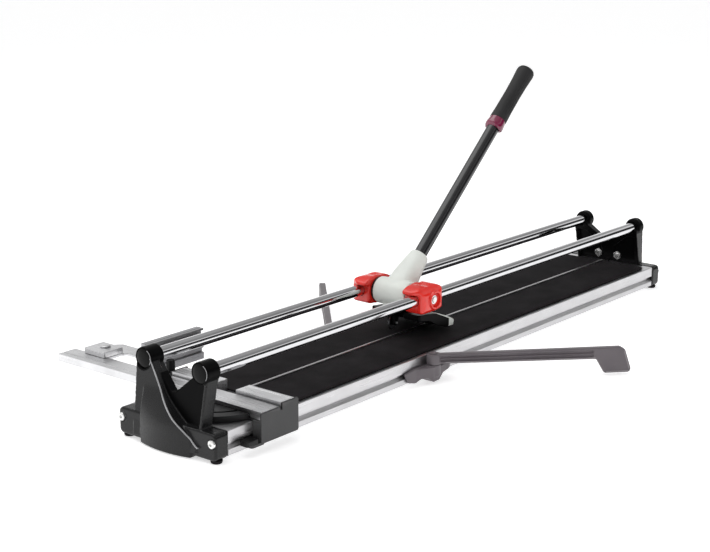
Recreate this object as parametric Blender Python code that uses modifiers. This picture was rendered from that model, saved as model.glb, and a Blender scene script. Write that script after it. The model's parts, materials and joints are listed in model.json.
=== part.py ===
"""Manual tile cutter: an aluminium bed with two chrome guide rails, a sliding lever carriage with a
scoring wheel and a breaker foot, a front fence with a sliding rule and side stop, and two folding
side arms.

Frame: metres, +Z up, origin on the ground under the middle of the bed. +Y runs along the rails, from
the fence end to the far end, and +X is the side of the right-hand arm.
"""

import math

import bmesh
import bpy
from mathutils import Matrix, Vector

GAP = 0.0003                    # clearance between pieces that touch

# Bed
HALF_LENGTH = 0.530             # to the outer face of each rail support
SUPPORT_BASE_THICK = 0.022
BED_HALF_WIDTH = 0.0815
BED_BOTTOM = 0.0060
BED_TOP = 0.0378
BED_WALL = 0.0026
BED_WEB_X = 0.0270
GROOVE_BOTTOM, GROOVE_TOP, GROOVE_DEPTH = 0.0184, 0.0222, 0.0050
PAD_THICK = 0.0034
PAD_INNER_X, PAD_OUTER_X = 0.0024, 0.0760
PAD_START_Y, PAD_END_Y = -0.4030, 0.4850
RIB_HALF_WIDTH, RIB_TOP = 0.0015, 0.0436
RIB_SLOT_DEPTH = 0.0012

# Guide rails and their supports
RAIL_X, RAIL_Z, RAIL_RADIUS = 0.0478, 0.1038, 0.0082
HUB_RADIUS = 0.0140
HUB_INNER_Y = 0.4860
HUB_OUTER_Y = {-1: 0.5190, 1: 0.5100}        # the front hubs stand further out than the rear ones
CAP_DEPTH = 0.0050
TOWER_TOP_X, TOWER_FOOT_X = 0.0600, 0.0565
SUPPORT_HALF_WIDTH = 0.0830
SUPPORT_BOTTOM, SUPPORT_BLOCK_TOP = 0.0042, 0.0382
NOTCH_Z = 0.0700
SCREW_X, SCREW_Z = 0.0770, 0.0262
TENSION_BOLT_X, TENSION_BOLT_Z = 0.0180, 0.0500
FOOT_X, FOOT_Y = 0.0745, 0.5205
FOOT_RADIUS = 0.0070
BULGE_HALF_WIDTH, BULGE_DEPTH = 0.0430, 0.0100
BULGE_BOTTOM, BULGE_TOP = 0.0012, 0.0310

# Fence, rule and side stop
FENCE_FACE_Y = -0.4040
SLOT_FRONT_Y, SLOT_BACK_Y = -0.4315, -0.4285
RULE_FRONT_Y = -0.4620
RULE_LEFT_X, RULE_RIGHT_X = -0.2775, 0.0935
FENCE_PLATE_TOP = 0.0400
RULE_TOP, FENCE_RAIL_TOP = 0.0504, 0.0546
FENCE_GAP_X = 0.0190
BLOCK_OUTER_X = 0.0966
DISC_CENTRE_Y, DISC_RADIUS, DISC_CLIP_Y = -0.4400, 0.0780, -0.5070
KNOB_X, KNOB_Y, KNOB_SEAT_Z = -0.1030, -0.4215, 0.0500
CLAMP_X, CLAMP_Y, CLAMP_Z = 0.0890, -0.4740, 0.0140
STOP_LEFT_X, STOP_RIGHT_X = -0.2520, -0.2120
STOP_BLOCK_FRONT_Y, STOP_BLOCK_HEIGHT = -0.4380, 0.0078
STOP_ARM_FRONT_Y, STOP_ARM_BACK_Y, STOP_ARM_BOTTOM = -0.4040, -0.3770, 0.0462
STOP_SCREW_X, STOP_SCREW_Y = -0.2320, -0.4180
STOP_PROFILE_X, STOP_HALF_THICK = -0.1355, 0.0065

# Carriage and lever
CARRIAGE_Y = -0.0830
SLIDER_HALF_LENGTH = 0.0285
SLIDER_INNER_X, SLIDER_OUTER_X = 0.0312, 0.0640
BUSH_RADIUS, BUSH_BORE = 0.0101, 0.0085
AXLE_RADIUS = 0.0060
BARREL_RADIUS, BARREL_HALF = 0.0190, 0.0280
HANDLE_START = Vector((0, -0.0290, 0.1474))
HANDLE_ANGLE = math.radians(42.0)
TUBE_RADIUS = 0.0094
TUBE_LENGTH = 0.3300
COLLAR_FROM, COLLAR_LENGTH, COLLAR_RADIUS = 0.2375, 0.0170, 0.0132
GRIP_LENGTH = 0.1010
WHEEL_Y, WHEEL_Z, WHEEL_RADIUS = -0.0900, 0.0625, 0.0110
FORK_TOP = 0.0805
FOOT_TIP_Y, FOOT_HALF_WIDTH = -0.0050, 0.0430

# Side arms
ARM_X, ARM_Y = 0.0924, -0.1176
ARM_ANGLE = math.radians(47)    # from +X, at rest
ARM_TOP, ARM_BOTTOM = 0.0410, 0.0262
ARM_HUB_RADIUS = 0.0096
ARM_PIN_RADIUS = 0.0035

BLACK_CASTING = ("black_casting", (0.035, 0.035, 0.037), 0.42, 0.0)
BLACK_PLASTIC = ("black_plastic", (0.045, 0.045, 0.047), 0.50, 0.0)
RUBBER = ("rubber", (0.040, 0.039, 0.040), 0.85, 0.0)
ALUMINIUM = ("aluminium", (0.80, 0.80, 0.81), 0.38, 1.0)
CHROME = ("chrome", (0.80, 0.80, 0.82), 0.12, 1.0)
STEEL = ("steel", (0.62, 0.62, 0.64), 0.30, 1.0)
GREY_CASTING = ("grey_casting", (0.60, 0.62, 0.58), 0.45, 0.0)
RED_PLASTIC = ("red_plastic", (0.75, 0.045, 0.025), 0.30, 0.0)
CRIMSON_PLASTIC = ("crimson_plastic", (0.20, 0.015, 0.04), 0.40, 0.0)
BLACK_PAINT = ("black_paint", (0.030, 0.030, 0.032), 0.30, 0.3)
GRIP_RUBBER = ("grip_rubber", (0.045, 0.044, 0.046), 0.75, 0.0)
ARM_PLASTIC = ("arm_plastic", (0.105, 0.095, 0.105), 0.50, 0.0)

PLANES = {                      # columns: outline's x, outline's y, the way its thickness runs
    "XY": Matrix(((1, 0, 0), (0, 1, 0), (0, 0, 1))),
    "XZ": Matrix(((1, 0, 0), (0, 0, -1), (0, 1, 0))),
    "YZ": Matrix(((0, 0, 1), (1, 0, 0), (0, 1, 0))),
}


# ---------------------------------------------------------------- scene and materials


def clear_scene():
    for obj in list(bpy.data.objects):
        bpy.data.objects.remove(obj, do_unlink=True)


def make_collection(name):
    collection = bpy.data.collections.new(name)
    bpy.context.scene.collection.children.link(collection)
    return collection


clear_scene()
PARTS = make_collection("tile_cutter")
CUTTERS = make_collection("cutters")


def material(spec):
    name, colour, roughness, metallic = spec
    found = bpy.data.materials.get(name)
    if found:
        return found
    made = bpy.data.materials.new(name)
    made.use_nodes = True
    shader = made.node_tree.nodes["Principled BSDF"]
    shader.inputs["Base Color"].default_value = (*colour, 1)
    shader.inputs["Roughness"].default_value = roughness
    shader.inputs["Metallic"].default_value = metallic
    return made


# ---------------------------------------------------------------- shapes as meshes


def mesh_of(bm, name):
    bmesh.ops.recalc_face_normals(bm, faces=bm.faces)
    mesh = bpy.data.meshes.new(name)
    bm.to_mesh(mesh)
    bm.free()
    return mesh


def box_mesh(low, high):
    low, high = Vector(low), Vector(high)
    bm = bmesh.new()
    bmesh.ops.create_cube(bm, size=1)
    bmesh.ops.scale(bm, vec=high - low, verts=bm.verts)
    bmesh.ops.translate(bm, vec=(low + high) / 2, verts=bm.verts)
    return mesh_of(bm, "box")


def cone_mesh(start, end, start_radius, end_radius, segments=24):
    start, end = Vector(start), Vector(end)
    along = end - start
    bm = bmesh.new()
    bmesh.ops.create_cone(
        bm, cap_ends=True, segments=segments,
        radius1=start_radius, radius2=end_radius, depth=along.length,
    )
    turn = along.to_track_quat("Z", "Y").to_matrix().to_4x4()
    bmesh.ops.transform(bm, matrix=Matrix.Translation((start + end) / 2) @ turn, verts=bm.verts)
    return mesh_of(bm, "cone")


def rod_mesh(start, end, radius, segments=24):
    return cone_mesh(start, end, radius, radius, segments)


def fillet(points, radius, steps=4):
    """The closed outline with each corner turned into an arc. A point may carry its own radius."""
    outline = []
    count = len(points)
    for i, point in enumerate(points):
        own = point[2] if len(point) > 2 else radius
        here = Vector(point[:2])
        back = (Vector(points[i - 1][:2]) - here).normalized()
        ahead = (Vector(points[(i + 1) % count][:2]) - here).normalized()
        if own <= 0:
            outline.append(here)
            continue
        half = back.angle(ahead) / 2
        reach = own / math.tan(half)
        centre = here + (back + ahead).normalized() * (own / math.sin(half))
        first = here + back * reach - centre
        last = here + ahead * reach - centre
        sweep = math.atan2(first.x * last.y - first.y * last.x, first.dot(last))
        for step in range(steps + 1):
            outline.append(centre + Matrix.Rotation(sweep * step / steps, 2) @ first)
    return outline


def plate_mesh(outlines, plane, start, end):
    """Flat outlines, the first the edge and the rest its holes, given thickness across their plane."""
    curve = bpy.data.curves.new("outline", "CURVE")
    curve.dimensions = "2D"
    curve.fill_mode = "BOTH"
    curve.extrude = abs(end - start) / 2
    for outline in outlines:
        spline = curve.splines.new("POLY")
        spline.points.add(len(outline) - 1)
        for target, point in zip(spline.points, outline):
            target.co = (point[0], point[1], 0, 1)
        spline.use_cyclic_u = True
    guide = bpy.data.objects.new("outline", curve)
    CUTTERS.objects.link(guide)
    turn = PLANES[plane].to_4x4()
    across = PLANES[plane] @ Vector((0, 0, 1))
    middle = (start + end) / 2 * sum(across)
    turn.translation = across * middle
    guide.matrix_world = turn
    bpy.context.view_layer.update()
    mesh = bpy.data.meshes.new_from_object(guide.evaluated_get(bpy.context.evaluated_depsgraph_get()))
    mesh.transform(guide.matrix_world)
    bpy.data.objects.remove(guide, do_unlink=True)
    bm = bmesh.new()
    bm.from_mesh(mesh)
    bmesh.ops.remove_doubles(bm, verts=bm.verts, dist=0.00001)
    bm.to_mesh(mesh)
    bm.free()
    return mesh


def turned_mesh(profile, segments=32):
    """A profile of (radius, height) pairs, from the top down its outer side, turned about Z."""
    mesh = bpy.data.meshes.new("profile")
    mesh.from_pydata([(r, 0, z) for r, z in profile], [(i, i + 1) for i in range(len(profile) - 1)], [])
    guide = bpy.data.objects.new("profile", mesh)
    CUTTERS.objects.link(guide)
    screw = guide.modifiers.new("Screw", "SCREW")
    screw.steps = screw.render_steps = segments
    screw.use_merge_vertices = True
    screw.merge_threshold = 0.00001
    bpy.context.view_layer.update()
    turned = bpy.data.meshes.new_from_object(guide.evaluated_get(bpy.context.evaluated_depsgraph_get()))
    bpy.data.objects.remove(guide, do_unlink=True)
    bm = bmesh.new()
    bm.from_mesh(turned)
    bmesh.ops.remove_doubles(bm, verts=bm.verts, dist=0.00001)
    bmesh.ops.recalc_face_normals(bm, faces=bm.faces)
    bm.to_mesh(turned)
    bm.free()
    return turned


def placed(mesh, matrix):
    mesh.transform(matrix)
    return mesh


def circle(x, y, radius, segments=24):
    return [
        (x + radius * math.cos(2 * math.pi * i / segments), y + radius * math.sin(2 * math.pi * i / segments))
        for i in range(segments)
    ]


# ---------------------------------------------------------------- objects


def part(name, mesh, spec):
    """A node: smooth where round, sharp at its edges."""
    mesh.name = name
    obj = bpy.data.objects.new(name, mesh)
    PARTS.objects.link(obj)
    mesh.materials.clear()
    mesh.materials.append(material(spec))
    mesh.shade_smooth()
    mesh.set_sharp_from_angle(angle=math.radians(35))
    return obj


def boolean(obj, mesh, operation):
    tool = bpy.data.objects.new(f"{obj.name}_{operation.lower()}", mesh)
    CUTTERS.objects.link(tool)
    tool.display_type = "WIRE"
    tool.hide_render = True
    modifier = obj.modifiers.new(operation.title(), "BOOLEAN")
    modifier.operation = operation
    modifier.object = tool
    modifier.solver = "EXACT"
    return obj


def cut(obj, *meshes):
    for mesh in meshes:
        boolean(obj, mesh, "DIFFERENCE")
    return obj


def join(obj, *meshes):
    for mesh in meshes:
        boolean(obj, mesh, "UNION")
    return obj


def soften(obj, width, segments=1):
    bevel = obj.modifiers.new("Bevel", "BEVEL")
    bevel.width = width
    bevel.segments = segments
    bevel.limit_method = "ANGLE"
    bevel.angle_limit = math.radians(40)
    return obj


def pivot(name, place, children):
    """An empty on a joint's axis that carries the pieces which move with it."""
    empty = bpy.data.objects.new(name, None)
    PARTS.objects.link(empty)
    empty.location = place
    empty.empty_display_size = 0.02
    bpy.context.view_layer.update()
    for child in children:
        child.parent = empty
        child.matrix_parent_inverse = empty.matrix_world.inverted()
    return empty


# ---------------------------------------------------------------- bed


def bed_outline():
    """The bed's section, right half by hand and left half mirrored."""
    half = [
        (PAD_INNER_X - 0.0005, BED_TOP - RIB_SLOT_DEPTH),
        (PAD_INNER_X - 0.0005, BED_TOP),
        (BED_HALF_WIDTH - 0.0010, BED_TOP),
        (BED_HALF_WIDTH, BED_TOP - 0.0010),
        (BED_HALF_WIDTH, GROOVE_TOP),
        (BED_HALF_WIDTH - GROOVE_DEPTH, GROOVE_TOP),
        (BED_HALF_WIDTH - GROOVE_DEPTH, GROOVE_BOTTOM),
        (BED_HALF_WIDTH, GROOVE_BOTTOM),
        (BED_HALF_WIDTH, BED_BOTTOM + 0.0010),
        (BED_HALF_WIDTH - 0.0010, BED_BOTTOM),
    ]
    return half + [(-x, z) for x, z in reversed(half)]


def bed_cells():
    """The hollow cells of the bed's section: a middle one, and one on each side with the groove's wall."""
    low, high = BED_BOTTOM + BED_WALL, BED_TOP - BED_WALL - RIB_SLOT_DEPTH
    side_high = BED_TOP - BED_WALL
    web = BED_WEB_X + BED_WALL / 2
    wall_x = BED_HALF_WIDTH - GROOVE_DEPTH - BED_WALL
    middle = [(-BED_WEB_X, low), (BED_WEB_X, low), (BED_WEB_X, high), (-BED_WEB_X, high)]
    right = [(web, low), (wall_x, low), (wall_x, side_high), (web, side_high)]
    left = [(-x, z) for x, z in right]
    return middle, right, left


def make_bed():
    end = HALF_LENGTH - SUPPORT_BASE_THICK - GAP
    part("base_extrusion", plate_mesh([bed_outline(), *bed_cells()], "XZ", -end, end), ALUMINIUM)
    low = BED_TOP - RIB_SLOT_DEPTH + GAP
    rib = part(
        "cutting_rib",
        box_mesh((-RIB_HALF_WIDTH, PAD_START_Y, low), (RIB_HALF_WIDTH, PAD_END_Y, RIB_TOP)),
        ALUMINIUM,
    )
    soften(rib, 0.0005)
    for side, name in ((1, "right"), (-1, "left")):
        near, far = sorted((side * PAD_INNER_X, side * PAD_OUTER_X))
        pad = part(
            f"rubber_pad_{name}",
            box_mesh((near, PAD_START_Y, BED_TOP + GAP), (far, PAD_END_Y, BED_TOP + GAP + PAD_THICK)),
            RUBBER,
        )
        soften(pad, 0.0006)


# ---------------------------------------------------------------- rail supports


def tower_outline():
    """Front view of a rail support: a wide base with a tower to each rail and a V between them."""
    half = [
        (0.0000, NOTCH_Z, 0),
        (0.0340, 0.0975, 0.002),
        (0.0400, 0.1070, 0),
        (0.0540, 0.1070, 0),
        (TOWER_TOP_X, 0.1000, 0),
        (TOWER_FOOT_X, SUPPORT_BLOCK_TOP, 0.002),
        (SUPPORT_HALF_WIDTH, SUPPORT_BLOCK_TOP, 0.005),
        (SUPPORT_HALF_WIDTH, SUPPORT_BOTTOM, 0.005),
    ]
    left = [(-x, z, r) for x, z, r in reversed(half[1:])]
    return fillet(half + left, 0, steps=3)


def support_side(end):
    """Side view of a support: a thick base, and thinner towers that lean back over the bed."""
    inner_face = HALF_LENGTH - SUPPORT_BASE_THICK
    outer = [
        (HALF_LENGTH, 0.0), (HALF_LENGTH, 0.0405), (HALF_LENGTH - 0.0030, 0.0460),
        (HALF_LENGTH - 0.0070, 0.0760), (HUB_OUTER_Y[end] - 0.0020, 0.0960), (HUB_OUTER_Y[end] - 0.0020, 0.1300),
        (HUB_INNER_Y + 0.0100, 0.1300), (HUB_INNER_Y + 0.0110, 0.0920), (HALF_LENGTH - 0.0180, 0.0430),
        (inner_face, 0.0405), (inner_face, 0.0),
    ]
    return [(end * y, z) for y, z in outer]


def bulge_outline(end):
    """Plan of the raised plate on the base's outer face: an arc that stands proud in the middle."""
    steps = 8
    arc = []
    for i in range(steps + 1):
        x = BULGE_HALF_WIDTH * (2 * i / steps - 1)
        arc.append((x, end * (HALF_LENGTH + BULGE_DEPTH * (1 - (x / BULGE_HALF_WIDTH) ** 2))))
    root = end * (HALF_LENGTH - 0.0050)
    return arc + [(BULGE_HALF_WIDTH, root), (-BULGE_HALF_WIDTH, root)]


def make_support(name, end):
    y_inner, y_outer = end * (HUB_INNER_Y + 0.0040), end * (HALF_LENGTH + 0.0010)
    support = part(name, plate_mesh([tower_outline()], "XZ", y_inner, y_outer), BLACK_CASTING)
    side = plate_mesh([support_side(end)], "YZ", -0.1000, 0.1000)
    boolean(support, side, "INTERSECT")
    join(support, plate_mesh([bulge_outline(end)], "XY", BULGE_BOTTOM, BULGE_TOP))
    hub_end = HUB_OUTER_Y[end]
    for x in (RAIL_X, -RAIL_X):
        join(support, rod_mesh((x, end * HUB_INNER_Y, RAIL_Z), (x, end * hub_end, RAIL_Z), HUB_RADIUS, 28))
    for x in (RAIL_X, -RAIL_X):
        cut(
            support,
            rod_mesh((x, end * 0.4800, RAIL_Z), (x, end * (hub_end - CAP_DEPTH + GAP), RAIL_Z), RAIL_RADIUS + GAP, 28),
            rod_mesh((x, end * (hub_end - CAP_DEPTH), RAIL_Z), (x, end * 0.5300, RAIL_Z), 0.0115, 28),
        )
    for x in (SCREW_X, -SCREW_X):
        cut(support, rod_mesh((x, end * 0.5050, SCREW_Z), (x, end * 0.5400, SCREW_Z), 0.0030, 16))
    if end > 0:
        for x in (TENSION_BOLT_X, -TENSION_BOLT_X):
            cut(support, rod_mesh((x, 0.4850, TENSION_BOLT_Z), (x, 0.5200, TENSION_BOLT_Z), 0.0043, 16))
    return support


def make_rails():
    front, rear = HUB_OUTER_Y[-1] - CAP_DEPTH, HUB_OUTER_Y[1] - CAP_DEPTH
    for side, name in ((1, "right"), (-1, "left")):
        x = side * RAIL_X
        rail = rod_mesh((x, -front, RAIL_Z), (x, rear, RAIL_Z), RAIL_RADIUS, 28)
        part(f"guide_rail_{name}", rail, CHROME)
        for end, place in ((-1, "front"), (1, "rear")):
            outer = HUB_OUTER_Y[end] - 0.0010
            inner = outer - CAP_DEPTH + 0.0020
            cap = rod_mesh((x, end * inner, RAIL_Z), (x, end * outer, RAIL_Z), 0.0111, 28)
            part(f"rail_cap_{place}_{name}", cap, BLACK_PLASTIC)


def make_fasteners_and_feet():
    for end, place in ((-1, "front"), (1, "rear")):
        for side, name in ((1, "right"), (-1, "left")):
            x = side * SCREW_X
            face = end * (HALF_LENGTH + GAP)
            screw = part(
                f"end_screw_{place}_{name}",
                rod_mesh((x, face, SCREW_Z), (x, face + end * 0.0022, SCREW_Z), 0.0053, 20),
                STEEL,
            )
            join(screw, rod_mesh((x, end * 0.5125, SCREW_Z), (x, face + end * 0.0010, SCREW_Z), 0.0026, 16))
            foot = (side * FOOT_X, end * FOOT_Y)
            part(
                f"rubber_foot_{place}_{name}",
                cone_mesh((*foot, 0.0), (*foot, SUPPORT_BOTTOM - GAP), FOOT_RADIUS, FOOT_RADIUS + 0.0006, 20),
                RUBBER,
            )
    head_outer = HALF_LENGTH - 0.0310
    for side, name in ((1, "right"), (-1, "left")):
        x = side * TENSION_BOLT_X
        bolt = part(
            f"tension_bolt_{name}",
            rod_mesh((x, head_outer + 0.0010, TENSION_BOLT_Z), (x, 0.5180, TENSION_BOLT_Z), 0.0040, 16),
            STEEL,
        )
        join(bolt, rod_mesh((x, head_outer, TENSION_BOLT_Z), (x, head_outer + 0.0080, TENSION_BOLT_Z), 0.0075, 6))


# ---------------------------------------------------------------- fence, rule and side stop


def make_fence():
    low = BED_TOP + GAP
    plate = [
        (-BED_HALF_WIDTH + GAP, FENCE_FACE_Y), (BED_HALF_WIDTH - GAP, FENCE_FACE_Y),
        (BED_HALF_WIDTH - GAP, -0.4650), (-BED_HALF_WIDTH + GAP, -0.4650),
    ]
    body = part("fence_body", plate_mesh([plate], "XY", low, FENCE_PLATE_TOP - GAP), BLACK_PLASTIC)
    first = math.asin((DISC_CENTRE_Y - DISC_CLIP_Y) / DISC_RADIUS)
    last = math.asin((DISC_CENTRE_Y + 0.4640) / DISC_RADIUS)
    steps = 10
    right = [
        (DISC_RADIUS * math.cos(a), DISC_CENTRE_Y - DISC_RADIUS * math.sin(a))
        for a in (last + (first - last) * i / steps for i in range(steps + 1))
    ]
    disc = right + [(-x, y) for x, y in reversed(right)]
    join(body, plate_mesh([disc], "XY", low, 0.0460))
    for side, name in ((1, "right"), (-1, "left")):
        near, far = sorted((side * FENCE_GAP_X, side * RULE_RIGHT_X))
        rail = part(
            f"fence_rail_{name}",
            box_mesh((near, SLOT_BACK_Y, FENCE_PLATE_TOP), (far, FENCE_FACE_Y, FENCE_RAIL_TOP)),
            ALUMINIUM,
        )
        soften(rail, 0.0008)


def end_block(side):
    """A block that grips the bed's side and stops the rule and the fence rail at their ends."""
    name = "right" if side > 0 else "left"
    front, back = -0.4660, -0.3990
    wall = [
        (front, 0.0120, 0.003), (back, 0.0120, 0.003), (back, FENCE_RAIL_TOP, 0.002),
        (SLOT_BACK_Y, FENCE_RAIL_TOP, 0.001), (SLOT_BACK_Y, 0.0465, 0),
        (SLOT_FRONT_Y - GAP, 0.0465, 0), (SLOT_FRONT_Y - GAP, RULE_TOP, 0.001), (front, RULE_TOP, 0.002),
    ]
    if side < 0:
        wall = wall[:5] + [(SLOT_BACK_Y, FENCE_PLATE_TOP - GAP, 0), (front, FENCE_PLATE_TOP - GAP, 0)]
    inner, outer = RULE_RIGHT_X + GAP, BLOCK_OUTER_X
    ends = sorted((side * inner, side * outer))
    block = part(f"end_block_{name}", plate_mesh([fillet(wall, 0, 3)], "YZ", *ends), BLACK_PLASTIC)
    ends = sorted((side * (BED_HALF_WIDTH + GAP), side * (outer - 0.0010)))
    body = fillet([(front, 0.0120), (back, 0.0120), (back, 0.0397), (front, 0.0397)], 0.0030, 3)
    join(block, plate_mesh([body], "YZ", *ends))
    near, far = sorted((side * (CLAMP_X - 0.0070), side * (CLAMP_X + 0.0060)))
    seat = fillet([(near, -0.4600, 0), (far, -0.4600, 0), (far, -0.4810, 0.004), (near, -0.4810, 0.004)], 0, 3)
    join(block, plate_mesh([seat], "XY", 0.0100, CLAMP_Z - GAP))
    if side < 0:
        lug = fillet([(-0.1100, SLOT_BACK_Y), (-0.0950, SLOT_BACK_Y), (-0.0950, -0.4130), (-0.1100, -0.4130)], 0.003, 3)
        join(block, plate_mesh([lug], "XY", 0.0300, KNOB_SEAT_Z))
    return block


def make_clamp(side):
    """A cam lever under the front corner of an end block, which locks the fence to the bed."""
    name = "right" if side > 0 else "left"
    radius = 0.0070
    outline = fillet(
        [
            (side * (CLAMP_X - radius), CLAMP_Y - 0.0160, 0.0030), (side * (CLAMP_X + radius), CLAMP_Y - 0.0160, 0.0030),
            (side * (CLAMP_X + radius), CLAMP_Y + radius, 0.0069), (side * (CLAMP_X - radius), CLAMP_Y + radius, 0.0069),
        ], 0, 4,
    )
    lever = part(f"clamp_lever_{name}", plate_mesh([outline], "XY", CLAMP_Z, 0.0210), BLACK_PLASTIC)
    pivot(f"clamp_pivot_{name}", (side * CLAMP_X, CLAMP_Y, CLAMP_Z), [lever])


def make_rule():
    rule = part(
        "rule_bar",
        box_mesh((RULE_LEFT_X, RULE_FRONT_Y, FENCE_PLATE_TOP), (RULE_RIGHT_X, SLOT_FRONT_Y, RULE_TOP)),
        ALUMINIUM,
    )
    soften(rule, 0.0008)
    turn = Matrix.Translation((KNOB_X, KNOB_Y, KNOB_SEAT_Z + GAP))
    profile = [(0, 0.0170), (0.0050, 0.0170), (0.0060, 0.0155), (0.0060, 0.0030), (0.0048, 0), (0, 0)]
    knob = part("rule_lock_knob", placed(turned_mesh(profile, 20), turn), BLACK_PLASTIC)
    pivot("rule_lock_pivot", (KNOB_X, KNOB_Y, KNOB_SEAT_Z), [knob])
    return rule


def make_stop():
    """A block on the rule that carries the tall stop profile on an L-shaped arm."""
    low = RULE_TOP + GAP
    block = fillet(
        [
            (STOP_LEFT_X, STOP_BLOCK_FRONT_Y), (STOP_RIGHT_X, STOP_BLOCK_FRONT_Y),
            (STOP_RIGHT_X, STOP_ARM_FRONT_Y), (STOP_LEFT_X, STOP_ARM_FRONT_Y),
        ], 0.0020, 3,
    )
    seat = low + STOP_BLOCK_HEIGHT
    slider = part("stop_slider", plate_mesh([block], "XY", low, seat), ALUMINIUM)
    edge = STOP_PROFILE_X - STOP_HALF_THICK - GAP
    arm = fillet(
        [
            (STOP_LEFT_X, SLOT_FRONT_Y + GAP), (STOP_RIGHT_X, SLOT_FRONT_Y + GAP), (STOP_RIGHT_X, STOP_ARM_FRONT_Y),
            (edge, STOP_ARM_FRONT_Y), (edge, STOP_ARM_BACK_Y), (STOP_LEFT_X + 0.0100, STOP_ARM_BACK_Y),
            (STOP_LEFT_X, STOP_ARM_BACK_Y - 0.0100),
        ], 0.0020, 3,
    )
    arm_piece = part("stop_arm", plate_mesh([arm], "XY", STOP_ARM_BOTTOM, RULE_TOP), ALUMINIUM)
    near, far = STOP_PROFILE_X - STOP_HALF_THICK, STOP_PROFILE_X + STOP_HALF_THICK
    profile = part("stop_profile", box_mesh((near, -0.4360, 0.0425), (far, -0.3350, 0.0850)), ALUMINIUM)
    cut(
        profile,
        box_mesh((near - 0.0100, -0.4500, 0.0400), (far + 0.0100, SLOT_FRONT_Y + GAP, low)),
        box_mesh((STOP_PROFILE_X - 0.0035, -0.4500, 0.0640), (STOP_PROFILE_X + 0.0035, -0.3200, 0.0900)),
        box_mesh((STOP_PROFILE_X + 0.0030, -0.4500, 0.0520), (far + 0.0100, -0.3200, 0.0580)),
    )
    turn = Matrix.Translation((STOP_SCREW_X, STOP_SCREW_Y, seat + GAP))
    head = [(0, 0.0026), (0.0066, 0.0026), (0.0074, 0.0020), (0.0074, 0.0006), (0.0068, 0), (0, 0)]
    screw = part("stop_screw", placed(turned_mesh(head, 20), turn), ALUMINIUM)
    empty = pivot("stop_screw_pivot", (STOP_SCREW_X, STOP_SCREW_Y, seat), [screw])
    return [slider, arm_piece, profile, empty]


# ---------------------------------------------------------------- carriage and lever


def slider_outline():
    """Side view of a rail slider: a lobe at each end that grips the rail, and a waist between."""
    half, mid = SLIDER_HALF_LENGTH, 0.0080
    points = [
        (-half, RAIL_Z - 0.0160), (-0.0200, RAIL_Z - 0.0205), (0.0, RAIL_Z - 0.0190),
        (0.0200, RAIL_Z - 0.0205), (half, RAIL_Z - 0.0160), (half, RAIL_Z + 0.0150),
        (0.0190, RAIL_Z + 0.0212), (mid, RAIL_Z + 0.0185), (-mid, RAIL_Z + 0.0185),
        (-0.0190, RAIL_Z + 0.0212), (-half, RAIL_Z + 0.0150),
    ]
    return fillet([(CARRIAGE_Y + y, z) for y, z in points], 0.0060, 3)


def make_slider(side):
    name = "right" if side > 0 else "left"
    x = side * RAIL_X
    front, back = CARRIAGE_Y - SLIDER_HALF_LENGTH, CARRIAGE_Y + SLIDER_HALF_LENGTH
    ends = sorted((side * SLIDER_INNER_X, side * SLIDER_OUTER_X))
    slider = part(f"rail_slider_{name}", plate_mesh([slider_outline()], "YZ", *ends), RED_PLASTIC)
    low, high = RAIL_Z - 0.0300, RAIL_Z + 0.0300
    across = fillet([(ends[0], low + 0.0085), (ends[1], low + 0.0085), (ends[1], high - 0.0082), (ends[0], high - 0.0082)], 0.0080, 4)
    boolean(slider, plate_mesh([across], "XZ", front - 0.0100, back + 0.0100), "INTERSECT")
    cut(
        slider,
        rod_mesh((x, front - 0.0100, RAIL_Z), (x, back + 0.0100, RAIL_Z), BUSH_RADIUS + GAP, 28),
        rod_mesh(
            (side * (SLIDER_INNER_X - 0.0110), CARRIAGE_Y, RAIL_Z), (side * 0.0352, CARRIAGE_Y, RAIL_Z),
            AXLE_RADIUS + GAP, 24,
        ),
        rod_mesh((side * 0.0615, CARRIAGE_Y + 0.0040, RAIL_Z), (side * 0.0710, CARRIAGE_Y + 0.0040, RAIL_Z), 0.0075, 24),
    )
    bush = [
        circle(x, RAIL_Z, BUSH_RADIUS, 28),
        circle(x, RAIL_Z, BUSH_BORE, 28),
    ]
    bush_piece = part(
        f"rail_bush_{name}", plate_mesh(bush, "XZ", front + 0.0030, back - 0.0030), BLACK_PLASTIC
    )
    bolt = part(
        f"slider_bolt_{name}",
        rod_mesh((side * 0.0618, CARRIAGE_Y + 0.0040, RAIL_Z), (side * 0.0645, CARRIAGE_Y + 0.0040, RAIL_Z), 0.0052, 6),
        STEEL,
    )
    return [slider, bush_piece, bolt]


def handle_point(distance, off=0.0):
    """A point along the handle's axis, counted from the socket's mouth, and off it in the Y-Z plane."""
    along = Vector((0, math.cos(HANDLE_ANGLE), math.sin(HANDLE_ANGLE)))
    across = Vector((0, -math.sin(HANDLE_ANGLE), math.cos(HANDLE_ANGLE)))
    return HANDLE_START + along * distance + across * off


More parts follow.
